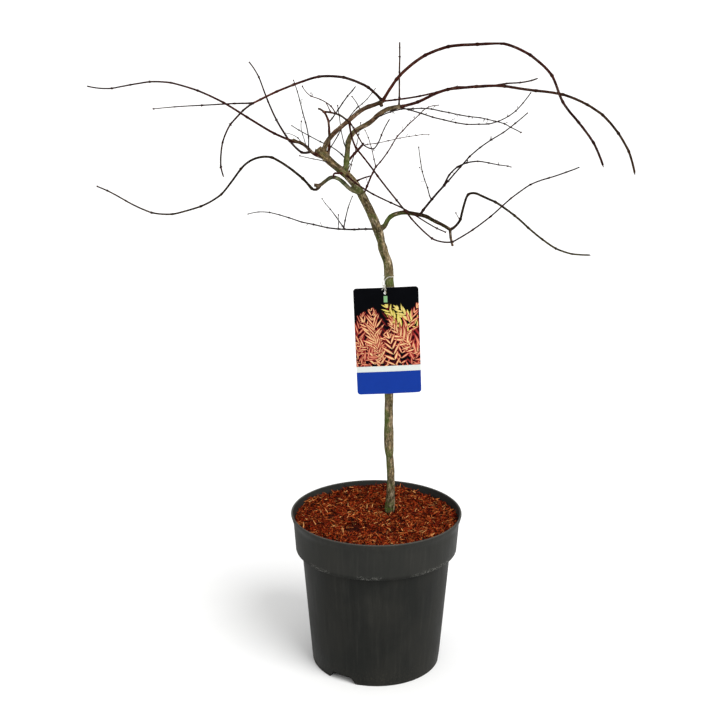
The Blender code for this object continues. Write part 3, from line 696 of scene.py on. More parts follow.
def grow(start, length, rises, bearings):
    """The centre line that turns evenly from each rise to the next."""
    middles = (np.arange(PATH_STEPS) + 0.5) / PATH_STEPS
    rise = np.radians(np.interp(middles, np.linspace(0, 1, len(rises)), rises))
    bearing = np.radians(bearings[0] + (bearings[1] - bearings[0]) * middles)
    level = np.cos(rise)
    heading = np.stack([level * np.cos(bearing), level * np.sin(bearing), np.sin(rise)], axis=1)
    steps = heading * (length / PATH_STEPS)
    return np.vstack([np.array(start), np.array(start) + np.cumsum(steps, axis=0)])


def point_at(path, share):
    """The point, or the points, at a share of a path's length."""
    return between_stops(share, np.linspace(0, 1, len(path)), path)


def kind_of(name):
    return "twigs" if name in TWIGS else name.split("_")[0]


NODES = {}


def node_shares(name):
    """Where a limb's nodes are, closer together towards its tip."""
    if name not in NODES:
        limb = LIMBS[name]
        chooser = random.Random(name)
        spacing = INTERNODES[kind_of(name)]
        reached, shares = spacing * chooser.uniform(0.3, 0.8), []
        while reached < limb.length - 0.2 * spacing:
            shares.append(reached / limb.length)
            reached += spacing * chooser.uniform(0.8, 1.2) * (1.0 - 0.35 * reached / limb.length)
        NODES[name] = shares
    return NODES[name]


PATHS = {}


def limb_path(name):
    """A limb's centre line: the growth rule's, with straighter internodes and a slight wander."""
    if name not in PATHS:
        limb = LIMBS[name]
        start = point_at(limb_path(limb.parent), limb.share) if limb.parent else TRUNK_FOOT
        path = grow(start, limb.length, limb.rises, limb.bearings)
        chooser = random.Random(name + " wander")
        stops = np.array([0.0, *node_shares(name), 1.0])
        shares = np.linspace(0, 1, len(path))
        chords = between_stops(shares, stops, point_at(path, stops))
        pull = THICK_STRAIGHTENING if kind_of(name) in ("trunk", "bough", "stub") else STRAIGHTENING
        offsets = np.array([[chooser.uniform(-1, 1) for _ in range(3)] for _ in stops]) * WANDER
        offsets[[0, -1]] = 0.0
        PATHS[name] = path + pull * (chords - path) + between_stops(shares, stops, offsets)
    return PATHS[name]


def radius_at(name, shares):
    """A limb's radius at shares of its length."""
    limb = LIMBS[name]
    if limb.radii is None:
        marks = np.array(TRUNK_RADII)
        return np.interp(shares, marks[:, 0], marks[:, 1]) * MM
    return (limb.radii[0] + (limb.radii[1] - limb.radii[0]) * np.asarray(shares)) * MM


def swelling(name, shares, width=2.2 * MM):
    """How strongly each place lies at a node: 1 on it, falling to 0 a few millimetres off."""
    distances = np.abs(np.asarray(shares)[:, None] - np.array(node_shares(name) or [9.0])[None])
    return np.exp(-(distances * LIMBS[name].length / width) ** 2).max(axis=1)


def soften(line, passes):
    """Rounds a line's corners and keeps its ends."""
    line = line.copy()
    for _ in range(passes):
        line[1:-1] = 0.25 * line[:-2] + 0.5 * line[1:-1] + 0.25 * line[2:]
    return line


def stem_of(name):
    """The first twig of the mass that a twig belongs to."""
    parent = LIMBS[name].parent
    return stem_of(parent) if parent in TWIGS else name


# ----------------------------------------------------------------------- buds

BUD_RINGS = ((0.00, 0.55), (0.12, 0.88), (0.34, 1.00), (0.58, 0.80), (0.80, 0.42), (1.00, 0.03))
BUD_SIDES = 7

# Length and half width of the buds, by where they sit
WHIP_BUD = (2.6 * MM, 0.80 * MM)
WHIP_TIP_BUD = (3.8 * MM, 1.0 * MM)
TWIG_BUD = (2.1 * MM, 0.75 * MM)
TWIG_TIP_BUD = (3.4 * MM, 1.0 * MM)
SPUR_TIP_BUD = (2.1 * MM, 0.60 * MM)


def bud_shape():
    """A pointed bud of unit length and half width, along +Z."""
    turns = np.arange(BUD_SIDES) * math.tau / BUD_SIDES
    verts = [(math.cos(turn) * radius, math.sin(turn) * radius, height)
             for height, radius in BUD_RINGS for turn in turns]
    faces = [tuple(face) for block in tube_faces(len(BUD_RINGS), BUD_SIDES) for face in np.atleast_2d(block)]
    return np.array(verts), faces


class Buds:
    """Gathers the places of buds, and builds them as one mesh."""

    def __init__(self):
        self.places, self.turns, self.scales = [], [], []

    def add(self, place, heading, length, half_width):
        turn = Vector(heading).to_track_quat("Z", "Y").to_matrix()
        self.places.append(np.array(place))
        self.turns.append(np.array(turn))
        self.scales.append((half_width, half_width, length))

    def at_nodes(self, name, chooser, length, half_width):
        """An opposite pair at each node, each pair a quarter turn from the last."""
        path = limb_path(name)
        along, side, other = frames_along(path)
        start = chooser.uniform(0, math.tau)
        for number, share in enumerate(node_shares(name)):
            spot = int(round(share * (len(path) - 1)))
            turn = start + number * math.pi / 2 + chooser.uniform(-0.2, 0.2)
            outward = side[spot] * math.cos(turn) + other[spot] * math.sin(turn)
            radius = float(radius_at(name, share))
            for sign in (1, -1):
                heading = along[spot] * 0.80 + outward * sign * chooser.uniform(0.50, 0.75)
                self.add(path[spot] + outward * sign * radius * 0.85, heading,
                         length * chooser.uniform(0.8, 1.15), half_width * chooser.uniform(0.85, 1.1))
        return along[-1], side[-1]

    def at_tip(self, tip, along, side, length, half_width):
        """The larger pair that ends a shoot."""
        for sign in (1, -1):
            self.add(tip - along * 0.4 * MM + side * sign * 0.35 * half_width, along + side * sign * 0.22,
                     length, half_width)

    def build(self, name, material):
        template, faces = bud_shape()
        verts, blocks = repeat_shape(
            template, faces, np.array(self.places), np.array(self.turns), np.array(self.scales))
        pile = Pile()
        pile.add(np.clip(verts, *CAD_BOX), blocks)
        return pile.build(name, material)


# ------------------------------------------------------------ trunk and boughs

SKIN_VOXEL = 0.9 * MM
COLLAR_LENGTH = 20 * MM
COLLAR_PROUD = 0.7 * MM
BOUGH_FLARE = 0.35
FLARE_REACH = 7 * MM
TRUNK_SINK = 4 * MM
SCAR_DEPTH = 0.5 * MM
SKIN_STUBS = ("stub_right_down", "stub_back", "stub_front", "stub_head", "stub_left_low", "stub_left_high")


def skin_limbs():
    """Every limb of the fused skin, and the share of it that is in: of a whip only its collar."""
    reach = {name: 1.0 for name in ("trunk", *BOUGHS, *SKIN_STUBS)}
    for name in WHIPS:
        reach[name] = min(1.0, COLLAR_LENGTH / LIMBS[name].length)
    return reach


def skin_radius(name, shares):
    """A whip's collar is wide at the fork and sinks into the whip; a bough flares at its foot."""
    radii = radius_at(name, shares)
    distance = np.asarray(shares) * LIMBS[name].length
    if name in WHIPS:
        return radii + COLLAR_PROUD * (1 - distance / (0.62 * COLLAR_LENGTH))
    if name == "trunk":
        return radii
    flare = BOUGH_FLARE if name in BOUGHS else 0.0
    radii = radii * (1 + flare * np.exp(-distance / FLARE_REACH))
    return radii * (1 + 0.10 * swelling(name, shares, 3 * MM))


def moss_and_shade_along(name, shares):
    """How much moss and painted shade the limb's side away from the key lamp has at shares of its length."""
    foot, tip = MOSS_AND_SHADE.get(name, (0.0, 0.0))
    return foot + (tip - foot) * np.asarray(shares)


def spots_along(name, shares, spots):
    """How strongly each place lies in one of the listed spots."""
    found = np.zeros(len(shares))
    for limb, share, half_height, strength in spots:
        if limb == name:
            distance = (shares - share) * LIMBS[name].length
            found = np.maximum(found, strength * np.exp(-(distance / half_height) ** 2))
    return found


def scars_and_shade_along(name, shares):
    """How strongly each place lies in a dark mark: a cross scar, a node, and the painted shadow at
    bough_back's fork.
    """
    nodes = np.zeros(len(shares)) if name == "trunk" else 0.35 * swelling(name, shares, 1.4 * MM)
    return np.maximum(nodes, spots_along(name, shares, SCARS_AND_SHADE))


def skin_samples():
    """Columns that describe points along every limb of the skin, for the vertices near them."""
    parts = {}
    for number, (name, reach) in enumerate(skin_limbs().items()):
        count = max(8, int(LIMBS[name].length * reach / (0.5 * MM)))
        shares = np.linspace(0, reach, count)
        points = point_at(limb_path(name), shares)
        _, side, other = frames_along(points)
        columns = {
            "centre": points,
            "side": side,
            "other": other,
            "radius": skin_radius(name, shares),
            "distance": shares * LIMBS[name].length,
            "number": np.full(count, float(number)),
            "old": np.full(count, OLDNESS[kind_of(name)]),
            "tone": tones_along(name, shares),
            "moss": moss_and_shade_along(name, shares),
            "green": spots_along(name, shares, GREEN_SPOTS),
            "scar": scars_and_shade_along(name, shares),
        }
        for key, column in columns.items():
            parts.setdefault(key, []).append(column)
    return {key: np.concatenate(columns) for key, columns in parts.items()}


def nearest_samples(verts, samples):
    """For each vertex, the number of the sample whose limb's surface is nearest."""
    found = []
    centres, radii = samples["centre"], samples["radius"]
    squares = (centres ** 2).sum(1)
    for part in np.array_split(verts, max(1, len(verts) // 4000)):
        apart = (part ** 2).sum(1)[:, None] + squares[None] - 2 * part @ centres.T
        found.append((np.sqrt(np.maximum(apart, 0)) - radii[None]).argmin(axis=1))
    return np.concatenate(found)


def bark_relief(grain, radii):
    """How far bark stands out at each vertex, and how much of a pale lenticel lies there."""
    heights, flecks = [], []
    for (x, y, z), radius in zip(grain, radii):
        ridge = noise.noise(Vector((x * 520, y * 520, z * 42)))
        lump = noise.noise(Vector((x * 130, y * 130, z * 60)))
        crease = noise.noise(Vector((x * 90, y * 90, z * 420)))
        near = noise.voronoi(Vector((x * 300, y * 300, z * 210)))[0][0]
        fleck = max(0.0, 1.0 - near / 0.32)
        weight = min(1.0, radius / (8 * MM))
        height = 0.26 * ridge + 0.62 * lump - 0.20 * max(0.0, crease - 0.20) + 0.24 * fleck
        heights.append(weight * height * MM)
        flecks.append(fleck * weight)
    return np.array(heights), np.array(flecks)


def moss_and_shade_patches(places, facing, amount):
    """Moss in ragged patches, leaning to the side away from the key lamp and to the underside, so that its
    olive green is also painted shade.
    """
    ragged = np.array([
        noise.noise(Vector(place) * 35) + 0.5 * noise.noise(Vector(place) * 160) for place in places])
    # Painted shade: the olive-green moss is pushed onto faces turned away from the key lamp and downward,
    # where shade falls
    side_away_from_key = -0.6 * facing[:, 0] - 0.3 * facing[:, 2] + 0.05
    return amount * np.clip((side_away_from_key + 1.2 * ragged) * 1.6, 0.0, 1.0)


def rough_skin():
    """Trunk, boughs and collars as one smooth fused mesh."""
    pile = Pile()
    for name, reach in skin_limbs().items():
        count = max(6, int(LIMBS[name].length * reach / (1.5 * MM)))
        shares = np.linspace(0, reach, count)
        points = point_at(limb_path(name), shares)
        if name == "trunk":
            points[0, 2] -= TRUNK_SINK
        pile.add(*sweep(points, skin_radius(name, shares)[:, None], 20))
    rough = pile.build("rough_skin")
    fuse = rough.modifiers.new("fuse", "REMESH")
    fuse.mode = "VOXEL"
    fuse.voxel_size = SKIN_VOXEL
    smooth = rough.modifiers.new("smooth", "SMOOTH")
    smooth.factor = 0.5
    smooth.iterations = 6
    depsgraph = bpy.context.evaluated_depsgraph_get()
    mesh = bpy.data.meshes.new_from_object(rough.evaluated_get(depsgraph))
    bpy.data.objects.remove(rough, do_unlink=True)
    return mesh


def build_skin(material):
    """Trunk and boughs as one skin with collars at the forks, in relief."""
    mesh = rough_skin()
    verts = np.empty(len(mesh.vertices) * 3, np.float32)
    mesh.vertices.foreach_get("co", verts)
    verts = verts.reshape(-1, 3).astype(float)
    samples = skin_samples()
    nearest = nearest_samples(verts, samples)
    near = {key: column[nearest] for key, column in samples.items()}
    away = verts - near["centre"]
    spans = np.linalg.norm(away, axis=1)
    outward = away / np.maximum(spans, 1e-9)[:, None]
    verts += outward * np.maximum(near["radius"] - spans, 0.0)[:, None]
    across = np.stack([(away * near["side"]).sum(1), (away * near["other"]).sum(1)], axis=1)
    across *= (near["radius"] / np.maximum(np.linalg.norm(across, axis=1), 1e-6))[:, None]
    grain = np.column_stack([across + near["number"][:, None] * 0.31, near["distance"]])
    heights, flecks = bark_relief(grain, near["radius"])
    heights -= SCAR_DEPTH * near["scar"] * np.minimum(1.0, near["radius"] / (6 * MM))
    verts += outward * heights[:, None]
    mesh.vertices.foreach_set("co", verts.astype(np.float32).ravel())
    mesh.update()
    facing_scar_and_shade = near["scar"] * np.clip(0.6 - outward[:, 1], 0.0, 1.0)
    # Moss, partly painted shade on the side away from the key lamp, and the green front patches
    moss = moss_and_shade_patches(near["centre"] + outward * 0.01, outward, near["moss"])
    moss = np.maximum(moss, near["green"] * np.clip(0.9 - outward[:, 1], 0.0, 1.0))
    for key, values in (
            ("grain", grain), ("tone", near["tone"]), ("old", near["old"]), ("moss", moss),
            ("fleck", flecks), ("scar", facing_scar_and_shade)):
        write_attribute(mesh, key, values)
    skin = finish_mesh("trunk_and_boughs", mesh, [material], 180)
    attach(skin, "root")
    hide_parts("trunk", *BOUGHS)


# ---------------------------------------------------------------------- whips

WHIP_SIDES = 12


def whip_rings(name):
    limb = LIMBS[name]
    count = int(limb.length / RING_STEP) + 1
    shares = np.linspace(0, 1, count)
    return shares, soften(point_at(limb_path(name), shares), 4)


def solids_of(name):
    """A whip's solids in the frame: one, or a numbered one for each bend."""
    return sorted(node for node in frame["nodes"] if re.fullmatch(name + r"(_\d)?", node))


def round_tip(points, radii):
    """Adds a few shrinking rings past the last point."""
    along = points[-1] - points[-2]
    along /= np.linalg.norm(along)
    tip = radii[-1]
    extra = [(0.35, 0.92), (0.65, 0.68), (0.85, 0.35)]
    points = np.vstack([points, [points[-1] + along * tip * step for step, _ in extra]])
    return points, np.concatenate([radii, [tip * share for _, share in extra]])


def build_whip(name, material, buds):
    """A long shoot as one mesh from fork to tip."""
    chooser = random.Random(name + " buds")
    shares, points = whip_rings(name)
    radii = radius_at(name, shares) * (1 + 0.30 * swelling(name, shares))
    points, radii = round_tip(points, radii)
    marks = np.concatenate([shares, np.ones(len(points) - len(shares))])
    turns = np.arange(WHIP_SIDES) * math.tau / WHIP_SIDES
    distance = marks * LIMBS[name].length
    ripple = np.array([[noise.noise(Vector((math.cos(turn) * 1.2, math.sin(turn) * 1.2, reach * 90)))
                        for turn in turns] for reach in distance])
    verts, faces = sweep(points, radii[:, None] * (1 + 0.07 * ripple), WHIP_SIDES)
    ring = np.stack([np.cos(turns), np.sin(turns)], axis=1)[None] * radii[:, None, None]
    grain = np.concatenate([ring, np.broadcast_to(distance[:, None, None], (*ring.shape[:2], 1))], axis=2)
    columns = {
        "tone": tones_along(name, marks), "old": np.full(len(marks), OLDNESS["whip"]),
        "moss": 0.5 * moss_and_shade_along(name, marks), "scar": 0.8 * swelling(name, marks, 1.3 * MM),
        "fleck": np.zeros(len(marks)),
    }
    values = {key: np.repeat(column, WHIP_SIDES, axis=0) for key, column in columns.items()}
    pile = Pile()
    pile.add(np.clip(verts, *CAD_BOX), faces, grain=grain.reshape(-1, 3), **values)
    whip = pile.build(name.replace("whip_", "shoot_"), material)
    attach(whip, "root")
    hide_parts(*solids_of(name))
    along, side = buds.at_nodes(name, chooser, *WHIP_BUD)
    if not any(limb.parent == name and limb.share == 1.0 for limb in LIMBS.values()):
        buds.at_tip(points[-1], along, side, *WHIP_TIP_BUD)


# ---------------------------------------------------------------------- twigs

TWIG_SIDES = 8
SPUR_TRIM = 0.62
SPUR_RADIUS = 0.42 * MM
SPUR_SIDES = 6
SPUR_BEND = 0.14
FINER_CHOICES = (0, 0, 1, 1)
FINER_ANGLE = 48
TWIG_TINTS = {
    # paler and darker looks
    "red": ((74, 34, 29), (42, 20, 18)),
    "grey": ((60, 52, 50), (34, 28, 28)),
    "brown": ((50, 34, 29), (29, 19, 17)),
}


def spur_frames(chooser, name):
    """Seeded places for short side shoots: foot, heading and length of each."""
    limb = LIMBS[name]
    path = limb_path(name)
    frames = []
    side = chooser.choice((-1, 1))
    for number in range(1, int(limb.length / SPUR_SPACING)):
        share = number * SPUR_SPACING / limb.length
        foot = Vector(point_at(path, share))
        along = (Vector(point_at(path, share + 0.02)) - foot).normalized()
        length = chooser.uniform(*SPUR_LENGTHS) * MM
        roll = Matrix.Rotation(chooser.uniform(0, math.tau), 3, along)
        if chooser.random() < SPUR_CHANCE:
            lean = Matrix.Rotation(math.radians(SPUR_ANGLE * side), 3, roll @ along.orthogonal())
            frames.append((foot, lean @ along, length))
        side = -side
    return frames


def spur_is_free(foot, heading, length, own_limbs):
    """Whether a spur keeps clear of every limb outside its own mass."""
    tip = np.array(foot + heading * length)
    for other in LIMBS:
        if other not in own_limbs and other not in STUBS:
            shares = np.linspace(0, 1, 121)
            gaps = np.linalg.norm(point_at(limb_path(other), shares) - tip, axis=1)
            if (gaps - radius_at(other, shares)).min() < length + SPUR_ROOM:
                return False
    return True


def add_shoot(pile, buds, chooser, foot, heading, length, radius, finer):
    """A short crooked shoot with a bud pair at its tip, and finer ones on it."""
    shares = np.linspace(0, 1, 7)
    heading = heading.normalized()
    bend = heading.orthogonal().normalized()
    bend.rotate(Matrix.Rotation(chooser.uniform(0, math.tau), 3, heading))
    points = np.array([
        foot + heading * length * share + bend * length * SPUR_BEND * share * share for share in shares])
    radii = radius * (1.0 - 0.30 * shares + 0.30 * np.exp(-((shares - 0.55) / 0.08) ** 2))
    radii[0] *= 1.5
    pile.add(*sweep(points, radii[:, None], SPUR_SIDES))
    tip_heading = points[-1] - points[-2]
    tip_heading /= np.linalg.norm(tip_heading)
    buds.at_tip(points[-1], tip_heading, np.array(bend), *SPUR_TIP_BUD)
    for _ in range(finer):
        start = Vector(point_at(points, chooser.uniform(0.40, 0.75)))
        roll = Matrix.Rotation(chooser.uniform(0, math.tau), 3, heading)
        lean = Matrix.Rotation(math.radians(FINER_ANGLE), 3, roll @ heading.orthogonal())
        add_shoot(pile, buds, chooser, start, lean @ heading, length * 0.45, radius * 0.75, 0)


def add_twig(pile, buds, chooser, name):
    """A twig from its own flared foot to its last bud."""
    shares, points = whip_rings(name)
    distance = shares * LIMBS[name].length
    radii = radius_at(name, shares) * (1 + 0.45 * swelling(name, shares, 1.8 * MM))
    radii = radii * (1 + 0.9 * np.exp(-distance / (2.5 * MM)))
    points, radii = round_tip(points, radii)
    verts, faces = sweep(points, radii[:, None], TWIG_SIDES)
    pile.add(np.clip(verts, *CAD_BOX), faces)
    along, side = buds.at_nodes(name, chooser, *TWIG_BUD)
    buds.at_tip(points[-1], along, side, *TWIG_TIP_BUD)


def build_twigs(buds):
    """All masses, carried on to finer shoots, joined by tint."""
    piles = {tint: Pile() for tint in TWIG_TINTS}
    tint_of = {stem: tint for tint, stems in TINTS.items() for stem in stems}
    spurs = random.Random(SEED)
    for stem in (name for name in TWIGS if stem_of(name) == name):
        members = [name for name in TWIGS if stem_of(name) == stem]
        pile = piles[tint_of[stem]]
        for name in members:
            chooser = random.Random(name + " shoots")
            add_twig(pile, buds, chooser, name)
            for foot, heading, length in spur_frames(spurs, name):
                if spur_is_free(foot, heading, length, members):
                    finer = chooser.choice(FINER_CHOICES)
                    add_shoot(pile, buds, chooser, foot, heading, length * SPUR_TRIM, SPUR_RADIUS, finer)
    for name in ("stub_crest", "stub_leader", "stub_low_right"):
        add_twig(piles["red"], buds, random.Random(name + " shoots"), name)
    for tint, pile in piles.items():
        looks = (seen(*look) for look in TWIG_TINTS[tint])
        piece = pile.build("twigs_" + tint, twig_finish("twig_bark_" + tint, *looks))
        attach(piece, "root")
        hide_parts(*TINTS[tint])


# ------------------------------------------------------------------------ pot

def wall_radius(height):
    """The pot's outer radius below its lip."""
    heights = (0.0, LEDGE_HEIGHT, BAND_FOOT_HEIGHT, POT_HEIGHT - LIP_DEPTH)
    radii = (BASE_RADIUS, LEDGE_RADIUS, BAND_FOOT_RADIUS, BAND_TOP_RADIUS)
    return float(np.interp(height, heights, radii))


def band_curve():
    """The rounded underside of the band, from the ledge up to the band's foot."""
    width, height = BAND_FOOT_RADIUS - LEDGE_RADIUS, BAND_FOOT_HEIGHT - LEDGE_HEIGHT
    return [
        (BAND_FOOT_RADIUS - width * drop ** BAND_ROUNDING, BAND_FOOT_HEIGHT - height * drop)
        for drop in (1 - step / BAND_STEPS for step in range(BAND_STEPS + 1))
    ]


def arc(centre, radius, first, last, steps=6):
    """Points on a part of a circle, from the first to the last turn in degrees."""
    turns = np.radians(np.linspace(first, last, steps))
    return [(centre[0] + radius * math.cos(turn), centre[1] + radius * math.sin(turn)) for turn in turns]


def lathe(profile, steps):
    """A closed turned solid; the profile starts and ends on the axis."""
    bm = bmesh.new()
    verts = [bm.verts.new((radius, 0.0, height)) for radius, height in profile]
    edges = [bm.edges.new(pair) for pair in zip(verts, verts[1:])]
    bmesh.ops.spin(
        bm, geom=verts + edges, cent=(0, 0, 0), axis=(0, 0, 1), angle=math.tau, steps=steps, use_merge=True)
    bmesh.ops.remove_doubles(bm, verts=bm.verts, dist=0.01 * MM)
    bmesh.ops.recalc_face_normals(bm, faces=bm.faces)
    return bm


def push(bm, faces, offset):
    """Gives flat faces a thickness."""
    pushed = bmesh.ops.extrude_face_region(bm, geom=faces)["geom"]
    verts = [part for part in pushed if isinstance(part, bmesh.types.BMVert)]
    bmesh.ops.translate(bm, verts=verts, vec=offset)


def to_object(name, bm, *materials, smooth_angle=40):
    mesh = bpy.data.meshes.new(name)
    bm.to_mesh(mesh)
    bm.free()
    return finish_mesh(name, mesh, materials, smooth_angle)


def notch_prism(bearing):
    """A drainage notch's wedge."""
    half_foot, half_top = NOTCH_FOOT_WIDTH / 2, NOTCH_TOP_WIDTH / 2
    below, front = -10 * MM, BASE_RADIUS + 20 * MM
    bm = bmesh.new()
    outline = (
        (-half_foot, below), (half_foot, below), (half_foot, 0.0),
        (half_top, NOTCH_HEIGHT), (-half_top, NOTCH_HEIGHT), (-half_foot, 0.0))
    face = bm.faces.new([bm.verts.new((NOTCH_BACK_RADIUS, across, height)) for across, height in outline])
    push(bm, [face], (front - NOTCH_BACK_RADIUS, 0, 0))
    bmesh.ops.transform(bm, matrix=Matrix.Rotation(math.radians(bearing), 4, "Z"), verts=bm.verts)
    bmesh.ops.recalc_face_normals(bm, faces=bm.faces)
    return to_object("notch_cutter", bm)


def apply_cuts(item, cutters):
    for cutter in cutters:
        cut = item.modifiers.new("cut", "BOOLEAN")
        cut.operation = "DIFFERENCE"
        cut.solver = "EXACT"
        cut.object = cutter
    depsgraph = bpy.context.evaluated_depsgraph_get()
    mesh = bpy.data.meshes.new_from_object(item.evaluated_get(depsgraph))
    item.modifiers.clear()
    item.data = mesh
    for cutter in cutters:
        bpy.data.objects.remove(cutter, do_unlink=True)


def build_pot():
    """The pot's shell: moulded base, ledge, band and a rolled lip."""
    lip_foot = POT_HEIGHT - LIP_DEPTH
    bead = 2.0 * MM
    profile = [
        (0.0, 1 * MM), (BASE_RADIUS - 12 * MM, 1 * MM), (BASE_RADIUS - 10 * MM, 0.0),
        (BASE_RADIUS - 1.5 * MM, 0.0), (BASE_RADIUS - 0.4 * MM, 0.4 * MM), (BASE_RADIUS, 1.5 * MM),
        (wall_radius(0.06), 0.06), (wall_radius(0.13), 0.13),
        (LEDGE_RADIUS - 0.25 * MM, LEDGE_HEIGHT - 3 * MM),
        *band_curve(),
        (BAND_FOOT_RADIUS + 0.2 * MM, BAND_FOOT_HEIGHT + 4 * MM),
        (wall_radius(0.26), 0.26), (BAND_TOP_RADIUS - 0.4 * MM, lip_foot - 6 * MM),
        (BAND_TOP_RADIUS + 0.2 * MM, lip_foot),
        (LIP_RADIUS - 2.6 * MM, lip_foot + 3.5 * MM), (LIP_RADIUS - 1.2 * MM, POT_HEIGHT - 7 * MM),
        *arc((LIP_RADIUS - bead, POT_HEIGHT - bead), bead, -15, 165, 10),
        (LIP_RADIUS - 4.3 * MM, POT_HEIGHT - 4 * MM), (LIP_RADIUS - 5.2 * MM, POT_HEIGHT - 9 * MM),
        (BAND_TOP_RADIUS - WALL, lip_foot),
        (BAND_FOOT_RADIUS - WALL, BAND_FOOT_HEIGHT + 2 * MM),
        (LEDGE_RADIUS - WALL, LEDGE_HEIGHT + 2 * MM),
        (BASE_RADIUS - WALL, FLOOR + NOTCH_HEIGHT), (0.0, FLOOR + NOTCH_HEIGHT),
    ]
    pot = to_object("pot_shell", lathe(profile, POT_STEPS), pot_finish())
    apply_cuts(pot, [notch_prism(bearing) for bearing in NOTCH_BEARINGS])
    pot.data.shade_smooth()
    pot.data.set_sharp_from_angle(angle=math.radians(38))
    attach(pot, "root")
    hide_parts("pot")


# -------------------------------------------------------------- mulched surface

BED_RINGS = 46
BED_STEPS = 150
BED_SWELL = 1.6 * MM
BED_GRIT = 1.2 * MM
BED_UNDER_SHREDS = 2.5 * MM
BED_DEPTH = 14 * MM
TRUNK_CLEARING = 11 * MM
SHRED_TINTS = (
    # name, share of the shreds, looks
    # Painted shade in part: the near-black tint and its large share stand for the shade in the gaps between
    # shreds as well as for dark shreds
    ("dark", 0.28, (48, 8, 3)),
    ("red", 0.26, (124, 32, 7)),
    ("rust", 0.21, (160, 54, 15)),
    ("brown", 0.13, (184, 84, 34)),
    ("tan", 0.09, (220, 126, 62)),
    ("pale", 0.03, (248, 178, 108)),
)

SHRED_LENGTHS_MM = (3, 21)
SHRED_WIDTHS_MM = (0.8, 2.1)
SHRED_LIFTS_MM = (-3.5, 2.5)

# A shred's rings, in shares of its length, and the corners of its section
SHRED_STATIONS = (-0.5, -0.2, 0.15, 0.5)
SHRED_CORNERS = np.array([(-1, -1), (1, -1), (1, 1), (-1, 1)])

# Mounds and hollows of the potting mix: place, height of the middle, reach
MOUNDS = (
    (0.030, 0.150, 9 * MM, 0.050),
    (-0.125, 0.085, 7 * MM, 0.028),
    (-0.050, 0.140, 4.5 * MM, 0.030),
    (0.010, -0.120, 3 * MM, 0.040),
    (0.090, -0.060, 3 * MM, 0.035),
    (-0.047, -0.044, -8 * MM, 0.019),
    (-0.012, -0.105, -3 * MM, 0.018),
    (0.027, 0.035, -4 * MM, 0.018),
)

# Spots where the shreds sink and the near-black bed shows, dark partly by painted shade: place, depth the
# shreds sink to, reach
BARE_SPOTS = (
    (-0.047, -0.044, 9 * MM, 0.017),
    (0.000, -0.066, 7 * MM, 0.012),
    (-0.088, 0.012, 6 * MM, 0.010),
)


def mix_height(x, y):
    """The uneven top of the potting mix."""
    broad = noise.noise(Vector((x * 22, y * 22, 1.7)))
    fine = noise.noise(Vector((x * 60, y * 60, 5.1)))
    mounds = sum(
        height * math.exp(-((x - middle_x) ** 2 + (y - middle_y) ** 2) / reach ** 2)
        for middle_x, middle_y, height, reach in MOUNDS)
    return BED_LEVEL + BED_SWELL * (broad + fine) + mounds


def build_bed():
    """The bed under the shreds, near black: the mix's own dark colour and painted shade for the gaps between
    the shreds.
    """
    outer = wall_radius(MIX_LEVEL) - WALL - 0.4 * MM
    rings = []
    for ring in range(1, BED_RINGS + 1):
        radius = outer * ring / BED_RINGS
        for step in range(BED_STEPS):
            turn = step * math.tau / BED_STEPS
            x, y = radius * math.cos(turn), radius * math.sin(turn)
            grit = noise.noise(Vector((x * 300, y * 300, 0))) * BED_GRIT
            rings.append((x, y, mix_height(x, y) - BED_UNDER_SHREDS + grit))
    foot = [(x * 0.99, y * 0.99, MIX_LEVEL - BED_DEPTH) for x, y, _ in rings[-BED_STEPS:]]
    pile = Pile()
    index = np.arange((BED_RINGS + 1) * BED_STEPS).reshape(BED_RINGS + 1, BED_STEPS)
    after = np.roll(index, -1, axis=1)
    quads = np.stack([index[:-1], index[1:], after[1:], after[:-1]], axis=-1).reshape(-1, 4)
    pile.add(rings + foot, [quads, index[0], index[-1][::-1]])
    # Painted shade: these tints are darker than the mix itself, so that the gaps between the shreds read as
    # shadow
    looks = ((0.35, seen(24, 6, 3)), (0.55, seen(52, 14, 7)), (0.70, seen(84, 32, 16)))
    finish = grained_finish("mix_bed", 0.05, 260, 5, looks, (0.85, 1.0), 1.5 * MM)
    bed = pile.build("mix_bed", finish, smooth_angle=60)
    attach(bed, "root")
    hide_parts("potting_mix")


def shred_turns(yaw, pitch, roll):
    """Rotation matrices of many shreds at once."""
    cy, cp, cr = np.cos(yaw), np.cos(pitch), np.cos(roll)
    sy, sp, sr = np.sin(yaw), np.sin(pitch), np.sin(roll)
    return np.stack([
        np.stack([cy * cp, cy * sp * sr - sy * cr, cy * sp * cr + sy * sr], axis=-1),
        np.stack([sy * cp, sy * sp * sr + cy * cr, sy * sp * cr - cy * sr], axis=-1),
        np.stack([-sp, cp * sr, cp * cr], axis=-1)], axis=-2)


def shred_shapes(rng, lengths, widths, thick):
    """Tapered, bent and twisted fibres along X, one row of vertices for each."""
    count = len(lengths)
    bend = rng.normal(0, 0.16, count) * lengths
    sway = rng.normal(0, 0.10, count) * lengths
    twist = rng.normal(0, 0.5, count)
    shapes = np.empty((count, len(SHRED_STATIONS), len(SHRED_CORNERS), 3))
    for number, station in enumerate(SHRED_STATIONS):
        taper = 0.35 if abs(station) > 0.4 else 1.0
        across = SHRED_CORNERS[None, :, 0] * widths[:, None] * taper / 2
        upward = SHRED_CORNERS[None, :, 1] * thick[:, None] * taper / 2
        cosine, sine = np.cos(twist * station)[:, None], np.sin(twist * station)[:, None]
        shapes[:, number, :, 0] = (station * lengths)[:, None]
        shapes[:, number, :, 1] = across * cosine - upward * sine + (sway * station ** 2)[:, None]
        shapes[:, number, :, 2] = across * sine + upward * cosine + (bend * station ** 2)[:, None]
    return shapes.reshape(count, -1, 3)


